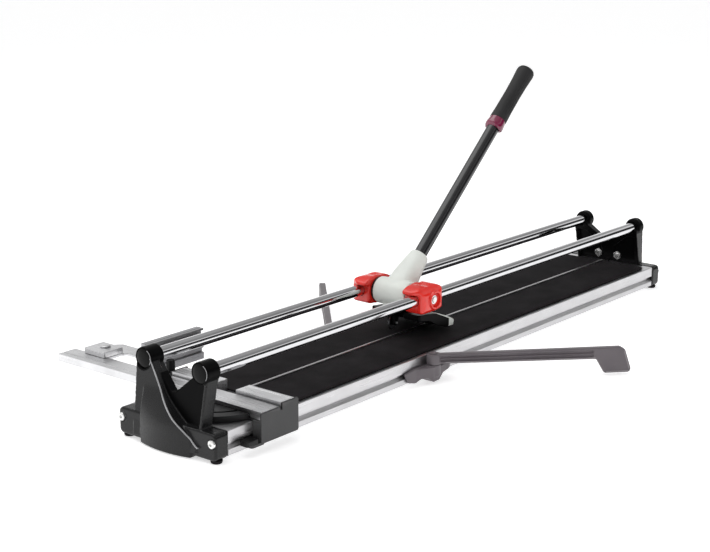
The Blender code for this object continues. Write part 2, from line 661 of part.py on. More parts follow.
def make_lever():
    axle_line = ((-0.0348, CARRIAGE_Y, RAIL_Z), (0.0348, CARRIAGE_Y, RAIL_Z))
    axle = part("carriage_axle", rod_mesh(*axle_line, AXLE_RADIUS, 24), STEEL)
    barrel = rod_mesh((-BARREL_HALF, CARRIAGE_Y, RAIL_Z), (BARREL_HALF, CARRIAGE_Y, RAIL_Z), BARREL_RADIUS, 32)
    lever = part("lever_body", barrel, GREY_CASTING)
    join(lever, cone_mesh(handle_point(-0.0700), handle_point(0.0), 0.0205, 0.0140, 28))
    join(lever, box_mesh((-0.0130, CARRIAGE_Y - 0.0140, FORK_TOP + GAP), (0.0130, CARRIAGE_Y + 0.0080, RAIL_Z - 0.0100)))
    cut(
        lever,
        rod_mesh((-0.0500, CARRIAGE_Y, RAIL_Z), (0.0500, CARRIAGE_Y, RAIL_Z), AXLE_RADIUS + GAP, 24),
        rod_mesh(handle_point(-0.0350), handle_point(0.0200), TUBE_RADIUS + GAP, 28),
    )
    tube = part("handle_tube", rod_mesh(handle_point(-0.0345), handle_point(TUBE_LENGTH), TUBE_RADIUS, 28), BLACK_PAINT)
    collar = part(
        "handle_collar",
        rod_mesh(handle_point(COLLAR_FROM), handle_point(COLLAR_FROM + COLLAR_LENGTH), COLLAR_RADIUS, 28),
        CRIMSON_PLASTIC,
    )
    cut(collar, rod_mesh(handle_point(COLLAR_FROM - 0.01), handle_point(COLLAR_FROM + 0.03), TUBE_RADIUS + GAP, 28))
    grip_start = COLLAR_FROM + COLLAR_LENGTH + GAP
    length = GRIP_LENGTH
    profile = [
        (0, length), (0.0100, length), (0.0138, length - 0.0030), (0.0142, length - 0.0080),
        (0.0130, length - 0.0300), (0.0122, length * 0.5), (0.0122, 0.0200), (0.0128, 0), (0, 0),
    ]
    along = handle_point(1) - handle_point(0)
    turn = Matrix.Translation(handle_point(grip_start)) @ along.to_track_quat("Z", "Y").to_matrix().to_4x4()
    grip = part("handle_grip", placed(turned_mesh(profile, 28), turn), GRIP_RUBBER)
    cut(grip, rod_mesh(handle_point(COLLAR_FROM), handle_point(TUBE_LENGTH + GAP), TUBE_RADIUS + GAP, 28))
    return axle, [lever, tube, collar, grip]


def make_breaker_foot():
    """Two sloping wings behind the wheel on one lug of the lever, with a rubber pad under each tip."""
    slope = [
        (CARRIAGE_Y - 0.0020, 0.0775), (CARRIAGE_Y + 0.0230, 0.0745), (FOOT_TIP_Y - 0.0060, 0.0640),
        (FOOT_TIP_Y + 0.0040, 0.0580), (FOOT_TIP_Y + 0.0040, 0.0520), (FOOT_TIP_Y - 0.0140, 0.0520),
        (FOOT_TIP_Y - 0.0250, 0.0565), (CARRIAGE_Y + 0.0230, 0.0665), (CARRIAGE_Y - 0.0020, 0.0705),
    ]
    foot = part("breaker_foot", plate_mesh([fillet(slope, 0.0012, 2)], "YZ", -FOOT_HALF_WIDTH, FOOT_HALF_WIDTH), GREY_CASTING)
    front, notch = CARRIAGE_Y - 0.0020, CARRIAGE_Y + 0.0095
    above = [
        (FOOT_HALF_WIDTH, 0.0100, 0.001), (-FOOT_HALF_WIDTH, 0.0100, 0.001), (-FOOT_HALF_WIDTH, front, 0.004),
        (-0.0145, front, 0.002), (-0.0145, notch, 0.002), (0.0145, notch, 0.002), (0.0145, front, 0.002),
        (FOOT_HALF_WIDTH, front, 0.004),
    ]
    boolean(foot, plate_mesh([fillet(above, 0, 2)], "XY", 0.0300, 0.1200), "INTERSECT")
    join(foot, box_mesh((-0.0120, notch - 0.0010, 0.0700), (0.0120, CARRIAGE_Y + 0.0230, 0.0850)))
    pads = []
    for side, name in ((1, "right"), (-1, "left")):
        near, far = sorted((side * 0.0060, side * 0.0410))
        pad = part(
            f"foot_pad_{name}",
            box_mesh((near, FOOT_TIP_Y - 0.0135, 0.0462), (far, FOOT_TIP_Y + 0.0035, 0.0517)),
            RUBBER,
        )
        soften(pad, 0.0010)
        pads.append(pad)
    return [foot, *pads]


def make_scoring_wheel():
    """A fork under the lever with a small carbide wheel between its cheeks."""
    fork_outline = fillet(
        [
            (WHEEL_Y - 0.0060, WHEEL_Z - 0.0050, 0.003), (WHEEL_Y + 0.0060, WHEEL_Z - 0.0050, 0.003),
            (WHEEL_Y + 0.0110, FORK_TOP, 0.001), (WHEEL_Y - 0.0060, FORK_TOP, 0.001),
        ], 0, 3,
    )
    holder = part("wheel_holder", plate_mesh([fork_outline], "YZ", -0.0070, 0.0070), STEEL)
    cut(
        holder,
        box_mesh((-0.0022, WHEEL_Y - 0.0300, 0.0400), (0.0022, WHEEL_Y + 0.0300, WHEEL_Z + 0.0125)),
        rod_mesh((-0.0200, WHEEL_Y, WHEEL_Z), (0.0200, WHEEL_Y, WHEEL_Z), 0.0018, 16),
    )
    pin = part("wheel_axle", rod_mesh((-0.0080, WHEEL_Y, WHEEL_Z), (0.0080, WHEEL_Y, WHEEL_Z), 0.0015, 16), STEEL)
    rim = [
        (0.0018, 0.0012), (WHEEL_RADIUS - 0.0015, 0.0012), (WHEEL_RADIUS - 0.0008, 0.0008),
        (WHEEL_RADIUS - 0.0008, -0.0008), (WHEEL_RADIUS - 0.0015, -0.0012), (0.0018, -0.0012), (0.0018, 0.0012),
    ]
    turn = Matrix.Translation((0, WHEEL_Y, WHEEL_Z)) @ Matrix.Rotation(math.pi / 2, 4, "Y")
    wheel = part("scoring_wheel", placed(turned_mesh(rim, 32), turn), STEEL)
    return holder, pin, wheel


def make_carriage():
    sliders = make_slider(1) + make_slider(-1)
    axle, lever = make_lever()
    foot = make_breaker_foot()
    holder, pin, wheel = make_scoring_wheel()
    carriage = pivot("carriage_slide", (0, CARRIAGE_Y, RAIL_Z), [*sliders, axle])
    hinge = pivot("lever_hinge", (0, CARRIAGE_Y, RAIL_Z), [*lever, *foot, holder, pin])
    hinge.parent = carriage
    hinge.matrix_parent_inverse = carriage.matrix_world.inverted()
    spin = pivot("wheel_spin", (0, WHEEL_Y, WHEEL_Z), [wheel])
    spin.parent = hinge
    bpy.context.view_layer.update()
    spin.matrix_parent_inverse = hinge.matrix_world.inverted()


# ---------------------------------------------------------------- side arms


def make_bracket(side):
    """A bracket clipped in the bed's side groove, with two toes below and a boss for the arm's pin."""
    name = "right" if side > 0 else "left"
    points = [
        (-0.1710, 0.0222, 0.001), (-0.1630, 0.0080, 0.002), (-0.1500, 0.0050, 0.002),
        (-0.1430, 0.0090, 0.003), (-0.1330, 0.0090, 0.003), (-0.1260, 0.0030, 0.002),
        (-0.1130, 0.0040, 0.002), (-0.1050, 0.0120, 0.003), (-0.0860, 0.0160, 0.002),
        (-0.0860, 0.0240, 0.002), (-0.1500, 0.0255, 0.002),
    ]
    ends = sorted((side * (BED_HALF_WIDTH + GAP), side * 0.1000))
    bracket = part(f"arm_bracket_{name}", plate_mesh([fillet(points, 0, 2)], "YZ", *ends), ARM_PLASTIC)
    root = BED_HALF_WIDTH
    plan = [
        (root, -0.1800), (root + 0.0035, -0.1720), (root + 0.0060, -0.1500), (0.0960, -0.1350),
        (0.1010, -0.1250), (0.1010, -0.0950), (0.0960, -0.0800), (root, -0.0800),
    ]
    boolean(bracket, plate_mesh([[(side * x, y) for x, y in plan]], "XY", 0.0000, 0.0500), "INTERSECT")
    near, far = sorted((side * (BED_HALF_WIDTH - GROOVE_DEPTH + GAP), side * (BED_HALF_WIDTH + 0.0050)))
    join(bracket, box_mesh((near, -0.1560, GROOVE_BOTTOM + GAP), (far, -0.0900, GROOVE_TOP - GAP)))
    join(bracket, rod_mesh((side * ARM_X, ARM_Y, 0.0100), (side * ARM_X, ARM_Y, 0.0259), 0.0098, 24))
    cut(bracket, rod_mesh((side * ARM_X, ARM_Y, 0.0140), (side * ARM_X, ARM_Y, 0.0300), ARM_PIN_RADIUS + GAP, 20))
    return bracket


def arm_outline():
    """Side view of an arm, as distance from its pin and height: a slim bar that ends in a broad leg."""
    return fillet(
        [
            (0.0000, ARM_BOTTOM + 0.0005, 0), (0.2270, 0.0236, 0.004), (0.2390, 0.0040, 0.002),
            (0.2760, 0.0040, 0.003), (0.2765, 0.0100, 0.003), (0.2680, 0.0370, 0.004),
            (0.2615, ARM_TOP - 0.0005, 0.002), (0.0000, ARM_TOP - 0.0005, 0),
        ], 0, 3,
    )


def make_arm(side):
    name = "right" if side > 0 else "left"
    angle = ARM_ANGLE if side > 0 else math.pi - ARM_ANGLE
    turn = Matrix.Translation((side * ARM_X, ARM_Y, 0)) @ Matrix.Rotation(angle, 4, "Z")
    bar = placed(plate_mesh([arm_outline()], "XZ", -0.0050, 0.0050), turn)
    arm = part(f"side_arm_{name}", bar, ARM_PLASTIC)
    centre = (side * ARM_X, ARM_Y)
    join(arm, rod_mesh((*centre, ARM_BOTTOM), (*centre, ARM_TOP), ARM_HUB_RADIUS, 24))
    cut(arm, rod_mesh((*centre, 0.0100), (*centre, 0.0500), ARM_PIN_RADIUS + GAP, 20))
    pin = part(f"arm_pin_{name}", rod_mesh((*centre, 0.0145), (*centre, 0.0420), ARM_PIN_RADIUS, 20), STEEL)
    join(pin, rod_mesh((*centre, ARM_TOP + GAP), (*centre, 0.0445), 0.0062, 20))
    pivot(f"arm_pivot_{name}", (*centre, ARM_BOTTOM), [arm])


def main():
    make_bed()
    make_support("front_support", -1)
    make_support("rear_support", 1)
    make_rails()
    make_fasteners_and_feet()
    make_fence()
    for side in (1, -1):
        end_block(side)
        make_clamp(side)
    rule = make_rule()
    stop = make_stop()
    slide = pivot("rule_slide", (RULE_LEFT_X, RULE_FRONT_Y, RULE_TOP), [rule])
    carrier = pivot("stop_slide", (STOP_LEFT_X, RULE_FRONT_Y, RULE_TOP), stop)
    carrier.parent = slide
    carrier.matrix_parent_inverse = slide.matrix_world.inverted()
    make_carriage()
    for side in (1, -1):
        make_bracket(side)
        make_arm(side)


main()
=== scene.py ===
"""Looks for the manual tile cutter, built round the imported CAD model.

The frame is the CAD's: metres, +Z up, +Y along the rails towards the far end, +X towards the right
arm. Castings are unions of simple solids, remeshed and smoothed so that their corners flow; machined
and extruded pieces are outlines with rounded edges.
"""

import json
import math

import bmesh
import bpy
from mathutils import Matrix, Vector


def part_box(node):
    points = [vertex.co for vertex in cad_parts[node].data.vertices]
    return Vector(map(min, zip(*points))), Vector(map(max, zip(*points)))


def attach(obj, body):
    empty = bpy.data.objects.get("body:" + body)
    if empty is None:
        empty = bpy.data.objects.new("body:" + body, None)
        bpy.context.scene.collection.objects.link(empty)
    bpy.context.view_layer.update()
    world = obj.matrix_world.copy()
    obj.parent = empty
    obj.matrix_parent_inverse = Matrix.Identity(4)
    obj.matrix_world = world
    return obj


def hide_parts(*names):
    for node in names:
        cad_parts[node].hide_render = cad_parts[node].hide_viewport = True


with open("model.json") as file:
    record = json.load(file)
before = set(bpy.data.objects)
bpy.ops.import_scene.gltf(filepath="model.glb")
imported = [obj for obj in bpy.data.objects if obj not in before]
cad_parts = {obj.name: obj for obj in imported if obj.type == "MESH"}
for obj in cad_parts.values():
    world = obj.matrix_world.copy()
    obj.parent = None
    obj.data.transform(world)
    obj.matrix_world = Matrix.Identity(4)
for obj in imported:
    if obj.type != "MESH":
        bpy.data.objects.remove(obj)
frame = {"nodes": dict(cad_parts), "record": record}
bpy.context.scene.view_settings.view_transform = "Standard"
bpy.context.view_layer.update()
nodes = frame["nodes"]

SIDES = ((1, "right"), (-1, "left"))
ENDS = ((-1, "front"), (1, "rear"))
# Centre lines of the rails, how far out the supports' hubs reach, the end screws and the tension nuts.
RAIL_X, RAIL_Z = 0.0478, 0.1038
FRONT_HUB, REAR_HUB = 0.5190, 0.5100
SCREW_X, SCREW_Z = 0.0770, 0.0262
NUT_X, NUT_Z = 0.0180, 0.0500
# The lever: its hinge, the lower end of its tube, and where the collar and the grip start along it.
HINGE = Vector((0, -0.0830, RAIL_Z))
HANDLE_START = Vector((0, -0.0290, 0.1474))
HANDLE_ANGLE = math.radians(42.0)
HANDLE_ALONG = Vector((0, math.cos(HANDLE_ANGLE), math.sin(HANDLE_ANGLE)))
HANDLE_ACROSS = Vector((0, -math.sin(HANDLE_ANGLE), math.cos(HANDLE_ANGLE)))
COLLAR_START, GRIP_START = 0.2375, 0.2548
# The side arms' pins and their angle, the centre of the fence's round front, and the two small knobs.
ARM_X, ARM_Y = 0.0924, -0.1176
ARM_TURN = math.radians(47)
FENCE_Y = -0.4400
LOCK_KNOB = Vector((-0.1030, -0.4215, 0.0503))
STOP_SCREW = Vector((-0.2320, -0.4180, 0.0588))


# ---- camera, floor and lights

def add_camera():
    data = bpy.data.cameras.new("camera")
    data.lens = 77.9
    data.sensor_width = 36.0
    camera = bpy.data.objects.new("camera", data)
    bpy.context.scene.collection.objects.link(camera)
    turn, tilt = math.radians(39.43), math.radians(14.49)
    look = Vector((-math.sin(turn) * math.cos(tilt), math.cos(turn) * math.cos(tilt), -math.sin(tilt)))
    camera.location = (1.2776, -1.7271, 0.6654)
    camera.rotation_euler = look.to_track_quat("-Z", "Y").to_euler()
    bpy.context.scene.camera = camera


def add_light(name, place, target, size, power):
    """A rectangular light; only the key one shows in reflections."""
    data = bpy.data.lights.new(name, "AREA")
    data.shape = "RECTANGLE"
    data.size, data.size_y = size
    data.energy = power
    light = bpy.data.objects.new(name, data)
    bpy.context.scene.collection.objects.link(light)
    light.visible_glossy = name == "key"
    light.location = place
    light.rotation_euler = (Vector(target) - Vector(place)).to_track_quat("-Z", "Y").to_euler()


def sky_levels(tree, height, bands):
    """Grey levels by height, each at its share of the way from straight down to straight up."""
    ramp = tree.nodes.new("ShaderNodeValToRGB")
    first, last = ramp.color_ramp.elements
    below, (top, above) = 0.80, bands[-1]
    first.position, first.color = 0.0, (below, below, below, 1)
    last.position, last.color = top, (above, above, above, 1)
    for share, level in bands[:-1]:
        ramp.color_ramp.elements.new(share).color = (level, level, level, 1)
    tree.links.new(height.outputs["Result"], ramp.inputs[0])
    return ramp.outputs["Color"]


def add_studio():
    """A white floor under a sky of soft bands, which differ between the left and the right."""
    world = bpy.data.worlds.new("studio")
    bpy.context.scene.world = world
    world.use_nodes = True
    tree = world.node_tree
    link = tree.links.new
    coord = tree.nodes.new("ShaderNodeTexCoord")
    split = tree.nodes.new("ShaderNodeSeparateXYZ")
    link(coord.outputs["Generated"], split.inputs[0])
    height = node_input(tree, "ShaderNodeMapRange", **{"From Min": -1.0})
    link(split.outputs["Z"], height.inputs["Value"])
    left = sky_levels(tree, height, ((0.500, 0.85), (0.508, 1.15), (0.670, 1.15), (0.720, 0.45),
                                     (0.850, 0.50), (1.0, 0.80)))
    right = sky_levels(tree, height, ((0.490, 0.80), (0.500, 0.05), (0.690, 0.05), (0.705, 1.10),
                                      (0.745, 1.10), (0.775, 0.32), (0.850, 0.36), (1.0, 0.80)))
    side = node_input(tree, "ShaderNodeMapRange", **{"From Min": -0.15, "From Max": 0.15})
    link(split.outputs["X"], side.inputs["Value"])
    sky = colour_mix(tree, side.outputs["Result"], left)
    link(right, sky.inputs["B"])
    background = tree.nodes["Background"]
    link(sky.outputs["Result"], background.inputs["Color"])
    background.inputs["Strength"].default_value = 0.80
    add_light("key", (-0.7, -0.5, 1.9), (0, 0, 0.05), (2.4, 1.6), 20)
    add_light("front", (1.6, -1.6, 1.1), (0, -0.2, 0.08), (1.2, 0.8), 6)
    add_light("side", (1.9, 0.8, 0.9), (0, 0.1, 0.08), (1.4, 0.7), 7)
    floor = mesh_object("floor", box((-30, -30, -0.02), (30, 30, 0.0)))
    white = paint("floor_white", (0.90, 0.90, 0.905), 0.80, grain=0.0, patches=0.0, specular=0.2)
    glow = white.node_tree.nodes["Principled BSDF"].inputs
    glow["Emission Color"].default_value = (1, 1, 1, 1)
    glow["Emission Strength"].default_value = 0.55
    floor.data.materials.append(white)


# ---- materials

def node_input(tree, kind, **values):
    """A new node with values in its named sockets."""
    node = tree.nodes.new(kind)
    for name, value in values.items():
        node.inputs[name].default_value = value
    return node


def colour_mix(tree, factor, first):
    """A node that mixes the first colour into the one its B socket is given."""
    mix = tree.nodes.new("ShaderNodeMix")
    mix.data_type = "RGBA"
    tree.links.new(factor, mix.inputs["Factor"])
    tree.links.new(first, mix.inputs["A"])
    return mix


def paint(name, colour, roughness, metallic=0.0, grain=0.15, grain_size=900.0, stretch=(1, 1, 1),
          patches=0.06, rough_spread=0.10, edge_wear_and_highlight=0.0, edge_wear_and_highlight_colour=None, coat=0.0, specular=0.5):
    """A surface with slow colour patches, a fine grain in its height and roughness, and lightened edges:
    worn, and on the arms a painted highlight.
    """
    made = bpy.data.materials.new(f"{name}_finish")
    made.use_nodes = True
    tree = made.node_tree
    link = tree.links.new
    shader = tree.nodes["Principled BSDF"]
    shader.inputs["Metallic"].default_value = metallic
    shader.inputs["Specular IOR Level"].default_value = specular
    shader.inputs["Coat Weight"].default_value = coat
    shader.inputs["Coat Roughness"].default_value = 0.12
    coord = tree.nodes.new("ShaderNodeTexCoord")
    mapping = node_input(tree, "ShaderNodeMapping", Scale=stretch)
    link(coord.outputs["Object"], mapping.inputs["Vector"])
    slow = node_input(tree, "ShaderNodeTexNoise", Scale=26.0, Detail=5.0)
    link(coord.outputs["Object"], slow.inputs["Vector"])
    fine = node_input(tree, "ShaderNodeTexNoise", Scale=grain_size, Detail=3.0)
    link(mapping.outputs["Vector"], fine.inputs["Vector"])
    shade = tree.nodes.new("ShaderNodeValToRGB")
    low, high = shade.color_ramp.elements
    low.position, high.position = 0.35, 0.65
    low.color = (*[c * (1 - patches) for c in colour], 1)
    high.color = (*[min(1.0, c * (1 + patches)) for c in colour], 1)
    link(slow.outputs["Fac"], shade.inputs["Fac"])
    colour_out = shade.outputs["Color"]
    # Convex edges are lightened: wear, and on the arms a painted highlight.
    if edge_wear_and_highlight > 0:
        geometry = tree.nodes.new("ShaderNodeNewGeometry")
        edge = node_input(tree, "ShaderNodeMapRange",
                          **{"From Min": 0.54, "From Max": 0.66, "To Max": edge_wear_and_highlight})
        link(geometry.outputs["Pointiness"], edge.inputs["Value"])
        lightened_edges = colour_mix(tree, edge.outputs["Result"], colour_out)
        lightened_edges.inputs["B"].default_value = (*edge_wear_and_highlight_colour, 1)
        colour_out = lightened_edges.outputs["Result"]
    link(colour_out, shader.inputs["Base Color"])
    rough = node_input(tree, "ShaderNodeMapRange", **{
        "From Min": 0.3, "From Max": 0.7, "To Min": max(0.02, roughness * (1 - rough_spread)),
        "To Max": min(1.0, roughness * (1 + rough_spread))})
    link(fine.outputs["Fac"], rough.inputs["Value"])
    link(rough.outputs["Result"], shader.inputs["Roughness"])
    if grain > 0:
        bump = node_input(tree, "ShaderNodeBump", Strength=grain, Distance=0.0004)
        link(fine.outputs["Fac"], bump.inputs["Height"])
        link(bump.outputs["Normal"], shader.inputs["Normal"])
    return made


def finishes():
    """Every finish by name: a colour, a roughness and what differs from a plain surface."""
    lengthwise, crosswise = (1, 0.02, 1), (0.02, 1, 1)
    brushed = dict(metallic=1.0, grain=0.12, rough_spread=0.30)
    looks = {
        "black_casting": ((0.0085, 0.0085, 0.009), 0.27, dict(
            grain=0.22, grain_size=1100, patches=0.15, edge_wear_and_highlight=0.30, edge_wear_and_highlight_colour=(0.12, 0.12, 0.125),
            specular=0.30)),
        "black_plastic": ((0.007, 0.007, 0.0075), 0.38, dict(
            grain=0.18, grain_size=1400, patches=0.12, edge_wear_and_highlight=0.25, edge_wear_and_highlight_colour=(0.08, 0.08, 0.085),
            specular=0.25)),
        # The casting's darker, shaded copy, used as painted shade on the supports' hubs and hollows; the
        # wheel holder and the foot's underside also use it.
        "black_recess": ((0.0020, 0.0020, 0.0022), 0.34, dict(
            grain=0.20, grain_size=1100, patches=0.15, specular=0.06)),
        "cap_plastic": ((0.0030, 0.0030, 0.0030), 0.24, dict(
            grain=0.10, grain_size=1400, patches=0.10, specular=0.10)),
        "rubber": ((0.0195, 0.0180, 0.0192), 0.80, dict(
            grain=0.55, grain_size=700, patches=0.18, rough_spread=0.12, specular=0.035)),
        "aluminium": ((0.63, 0.625, 0.635), 0.34, dict(
            metallic=1.0, grain=0.10, stretch=lengthwise, patches=0.03, rough_spread=0.25)),
        "chrome": ((0.70, 0.70, 0.715), 0.08, dict(
            metallic=1.0, grain=0.0, grain_size=300, patches=0.03, rough_spread=0.15)),
        "steel": ((0.62, 0.62, 0.63), 0.28, dict(metallic=1.0, grain=0.08, rough_spread=0.25)),
        "grey_casting": ((0.79, 0.82, 0.775), 0.38, dict(
            grain=0.22, patches=0.05, edge_wear_and_highlight=0.20, edge_wear_and_highlight_colour=(0.86, 0.88, 0.85), specular=0.4)),
        "red_plastic": ((0.84, 0.022, 0.013), 0.22, dict(
            grain=0.08, grain_size=800, patches=0.10, edge_wear_and_highlight=0.30, edge_wear_and_highlight_colour=(0.92, 0.20, 0.11),
            coat=0.3)),
        "crimson_plastic": ((0.150, 0.004, 0.038), 0.14, dict(grain=0.03, patches=0.25, coat=0.9)),
        "black_paint": ((0.010, 0.010, 0.011), 0.20, dict(
            grain=0.05, grain_size=500, patches=0.10, coat=0.45, specular=0.45)),
        "grip_rubber": ((0.022, 0.0218, 0.0222), 0.60, dict(
            grain=0.50, grain_size=1300, patches=0.12, specular=0.3)),
        # The arms' lightened edges are a painted highlight on their ribs.
        "arm_plastic": ((0.125, 0.110, 0.120), 0.38, dict(
            grain=0.20, grain_size=1200, patches=0.08, edge_wear_and_highlight=0.55, edge_wear_and_highlight_colour=(0.22, 0.20, 0.215),
            specular=0.4)),
        "rule_aluminium": ((0.70, 0.70, 0.71), 0.34, dict(brushed, stretch=crosswise, patches=0.08)),
        "fence_aluminium": ((0.86, 0.86, 0.87), 0.34, dict(brushed, stretch=crosswise, patches=0.08)),
        "dark_aluminium": ((0.36, 0.36, 0.37), 0.34, dict(brushed, stretch=lengthwise, patches=0.10)),
        # Light grey for painted highlights: the bright edge of the front web rib and the arcs round the front
        # caps.
        "rib_edge": ((0.40, 0.40, 0.41), 0.25, dict(grain=0.05, patches=0.10)),
        # Lighter grey for the painted highlight strips along the arms' rims.
        "arm_edge": ((0.26, 0.24, 0.25), 0.35, dict(grain=0.10, patches=0.08)),
        "carbide": ((0.09, 0.09, 0.095), 0.30, dict(metallic=1.0, grain=0.05, patches=0.08)),
        "zinc": ((0.80, 0.80, 0.79), 0.22, dict(metallic=0.9, grain=0.06)),
        "block_plastic": ((0.036, 0.036, 0.037), 0.48, dict(
            grain=0.22, grain_size=1300, patches=0.08, edge_wear_and_highlight=0.2, edge_wear_and_highlight_colour=(0.15, 0.15, 0.15))),
    }
    return {name: paint(name, colour, roughness, **rest)
            for name, (colour, roughness, rest) in looks.items()}


# ---- shapes

def box(low, high):
    low, high = Vector(low), Vector(high)
    bm = bmesh.new()
    bmesh.ops.create_cube(bm, size=1)
    bmesh.ops.scale(bm, vec=high - low, verts=bm.verts)
    bmesh.ops.translate(bm, vec=(low + high) / 2, verts=bm.verts)
    return bm


def rod(start, end, radius, end_radius=None, segments=48):
    start, end = Vector(start), Vector(end)
    bm = bmesh.new()
    bmesh.ops.create_cone(bm, cap_ends=True, segments=segments, radius1=radius,
                          radius2=radius if end_radius is None else end_radius, depth=(end - start).length)
    turn = (end - start).to_track_quat("Z", "Y").to_matrix().to_4x4()
    bmesh.ops.transform(bm, matrix=Matrix.Translation((start + end) / 2) @ turn, verts=bm.verts)
    return bm


def ball(centre, radius, stretch=(1, 1, 1)):
    bm = bmesh.new()
    bmesh.ops.create_uvsphere(bm, u_segments=32, v_segments=20, radius=radius)
    bmesh.ops.scale(bm, vec=stretch, verts=bm.verts)
    bmesh.ops.translate(bm, vec=centre, verts=bm.verts)
    return bm


def arcs(points, radius=0.0, steps=6):
    """The closed outline with each corner turned into an arc. A point may carry its own radius."""
    outline = []
    for i, point in enumerate(points):
        own = point[2] if len(point) > 2 else radius
        here = Vector(point[:2])
        back = (Vector(points[i - 1][:2]) - here).normalized()
        ahead = (Vector(points[(i + 1) % len(points)][:2]) - here).normalized()
        if own <= 0:
            outline.append(here)
            continue
        half = back.angle(ahead) / 2
        centre = here + (back + ahead).normalized() * (own / math.sin(half))
        first = here + back * (own / math.tan(half)) - centre
        last = here + ahead * (own / math.tan(half)) - centre
        sweep = math.atan2(first.x * last.y - first.y * last.x, first.dot(last))
        outline += [centre + Matrix.Rotation(sweep * s / steps, 2) @ first for s in range(steps + 1)]
    return outline


AXES = {
    "XY": Matrix(((1, 0, 0), (0, 1, 0), (0, 0, 1))),
    "XZ": Matrix(((1, 0, 0), (0, 0, 1), (0, 1, 0))),
    "YZ": Matrix(((0, 0, 1), (1, 0, 0), (0, 1, 0))),
}


def plate(outline, plane, start, end, bevel=0.0, steps=3):
    """An outline in a plane given thickness across it, with its rim rounded."""
    bm = bmesh.new()
    face = bm.faces.new([bm.verts.new(AXES[plane] @ Vector((p[0], p[1], start))) for p in outline])
    lifted = bmesh.ops.extrude_face_region(bm, geom=[face])
    top = [v for v in lifted["geom"] if isinstance(v, bmesh.types.BMVert)]
    bmesh.ops.translate(bm, vec=AXES[plane] @ Vector((0, 0, end - start)), verts=top)
    bmesh.ops.recalc_face_normals(bm, faces=bm.faces)
    if bevel > 0:
        axis = AXES[plane] @ Vector((0, 0, 1))
        rim = [e for e in bm.edges if abs((e.verts[0].co - e.verts[1].co).dot(axis)) < 1e-7]
        bmesh.ops.bevel(bm, geom=rim, offset=bevel, segments=steps, affect="EDGES", profile=0.5,
                        clamp_overlap=True)
    return bm


def sweep(centre, radii, degrees):
    """Points round an ellipse at the given angles."""
    return [(centre[0] + radii[0] * math.cos(math.radians(a)),
             centre[1] + radii[1] * math.sin(math.radians(a))) for a in degrees]


def rectangle(x0, y0, x1, y1):
    return [(x0, y0), (x1, y0), (x1, y1), (x0, y1)]


def both_halves(half):
    """A right-hand outline followed by its mirror image."""
    return half + [(-p[0], *p[1:]) for p in reversed(half)]


def turned(profile, start, along, segments=64):
    """A profile of (radius, distance) pairs turned about a line."""
    bm = bmesh.new()
    turn = Vector(along).to_track_quat("Z", "Y").to_matrix().to_4x4()
    rings = []
    for radius, height in profile:
        if radius < 1e-7:
            rings.append([bm.verts.new((0, 0, height))])
        else:
            rings.append([bm.verts.new((radius * math.cos(2 * math.pi * i / segments),
                                        radius * math.sin(2 * math.pi * i / segments), height))
                          for i in range(segments)])
    for one, two in zip(rings, rings[1:]):
        for i in range(segments):
            j = (i + 1) % segments
            if len(one) == 1:
                bm.faces.new((one[0], two[i], two[j]))
            elif len(two) == 1:
                bm.faces.new((one[i], two[0], one[j]))
            else:
                bm.faces.new((one[i], two[i], two[j], one[j]))
    bmesh.ops.transform(bm, matrix=Matrix.Translation(start) @ turn, verts=bm.verts)
    bmesh.ops.recalc_face_normals(bm, faces=bm.faces)
    return bm


def loft(rings):
    """A closed solid through rings that have the same number of points."""
    bm = bmesh.new()
    rows = [[bm.verts.new(p) for p in ring] for ring in rings]
    count = len(rows[0])
    for one, two in zip(rows, rows[1:]):
        for i in range(count):
            j = (i + 1) % count
            bm.faces.new((one[i], one[j], two[j], two[i]))
    bm.faces.new(rows[0])
    bm.faces.new(rows[-1])
    bmesh.ops.recalc_face_normals(bm, faces=bm.faces)
    return bm


def blend_curve(points, steps=12):
    """A smooth line through the points (Catmull-Rom)."""
    ends = [points[0], *points, points[-1]]
    line = []
    for a, b, c, d in zip(ends, ends[1:], ends[2:], ends[3:]):
        a, b, c, d = Vector(a), Vector(b), Vector(c), Vector(d)
        for i in range(steps):
            t = i / steps
            line.append(0.5 * (2 * b + (c - a) * t + (2 * a - 5 * b + 4 * c - d) * t * t
                               + (3 * b - a - 3 * c + d) * t ** 3))
    line.append(Vector(points[-1]))
    return line


def moved(bm, matrix):
    bmesh.ops.transform(bm, matrix=matrix, verts=bm.verts)
    if matrix.determinant() < 0:
        bmesh.ops.reverse_faces(bm, faces=bm.faces)
    return bm


MIRROR = Matrix.Diagonal((-1, 1, 1, 1))


def mesh_object(name, bm):
    mesh = bpy.data.meshes.new(name)
    bm.to_mesh(mesh)
    bm.free()
    obj = bpy.data.objects.new(name, mesh)
    bpy.context.scene.collection.objects.link(obj)
    return obj


def applied(obj):
    """Bakes an object's modifiers into its mesh."""
    bpy.context.view_layer.update()
    evaluated = obj.evaluated_get(bpy.context.evaluated_depsgraph_get())
    mesh = bpy.data.meshes.new_from_object(evaluated)
    obj.modifiers.clear()
    obj.data = mesh
    return obj


def cut(obj, steps):
    """Boolean steps, each an operation and the shape it uses."""
    tools = []
    for operation, shape in steps:
        tool = mesh_object("tool", shape)
        tools.append(tool)
        step = obj.modifiers.new(operation, "BOOLEAN")
        step.operation, step.object, step.solver = operation, tool, "MANIFOLD"
    applied(obj)
    for tool in tools:
        bpy.data.objects.remove(tool, do_unlink=True)
    return obj


def combined(name, adds, cuts=()):
    """One solid from several: the first, joined with the other adds, less the cuts."""
    return cut(mesh_object(name, adds[0]),
               [("UNION", shape) for shape in adds[1:]] + [("DIFFERENCE", shape) for shape in cuts])


def mirrored(obj):
    """Makes a right-hand piece the left-hand one."""
    obj.data.transform(MIRROR)
    obj.data.flip_normals()


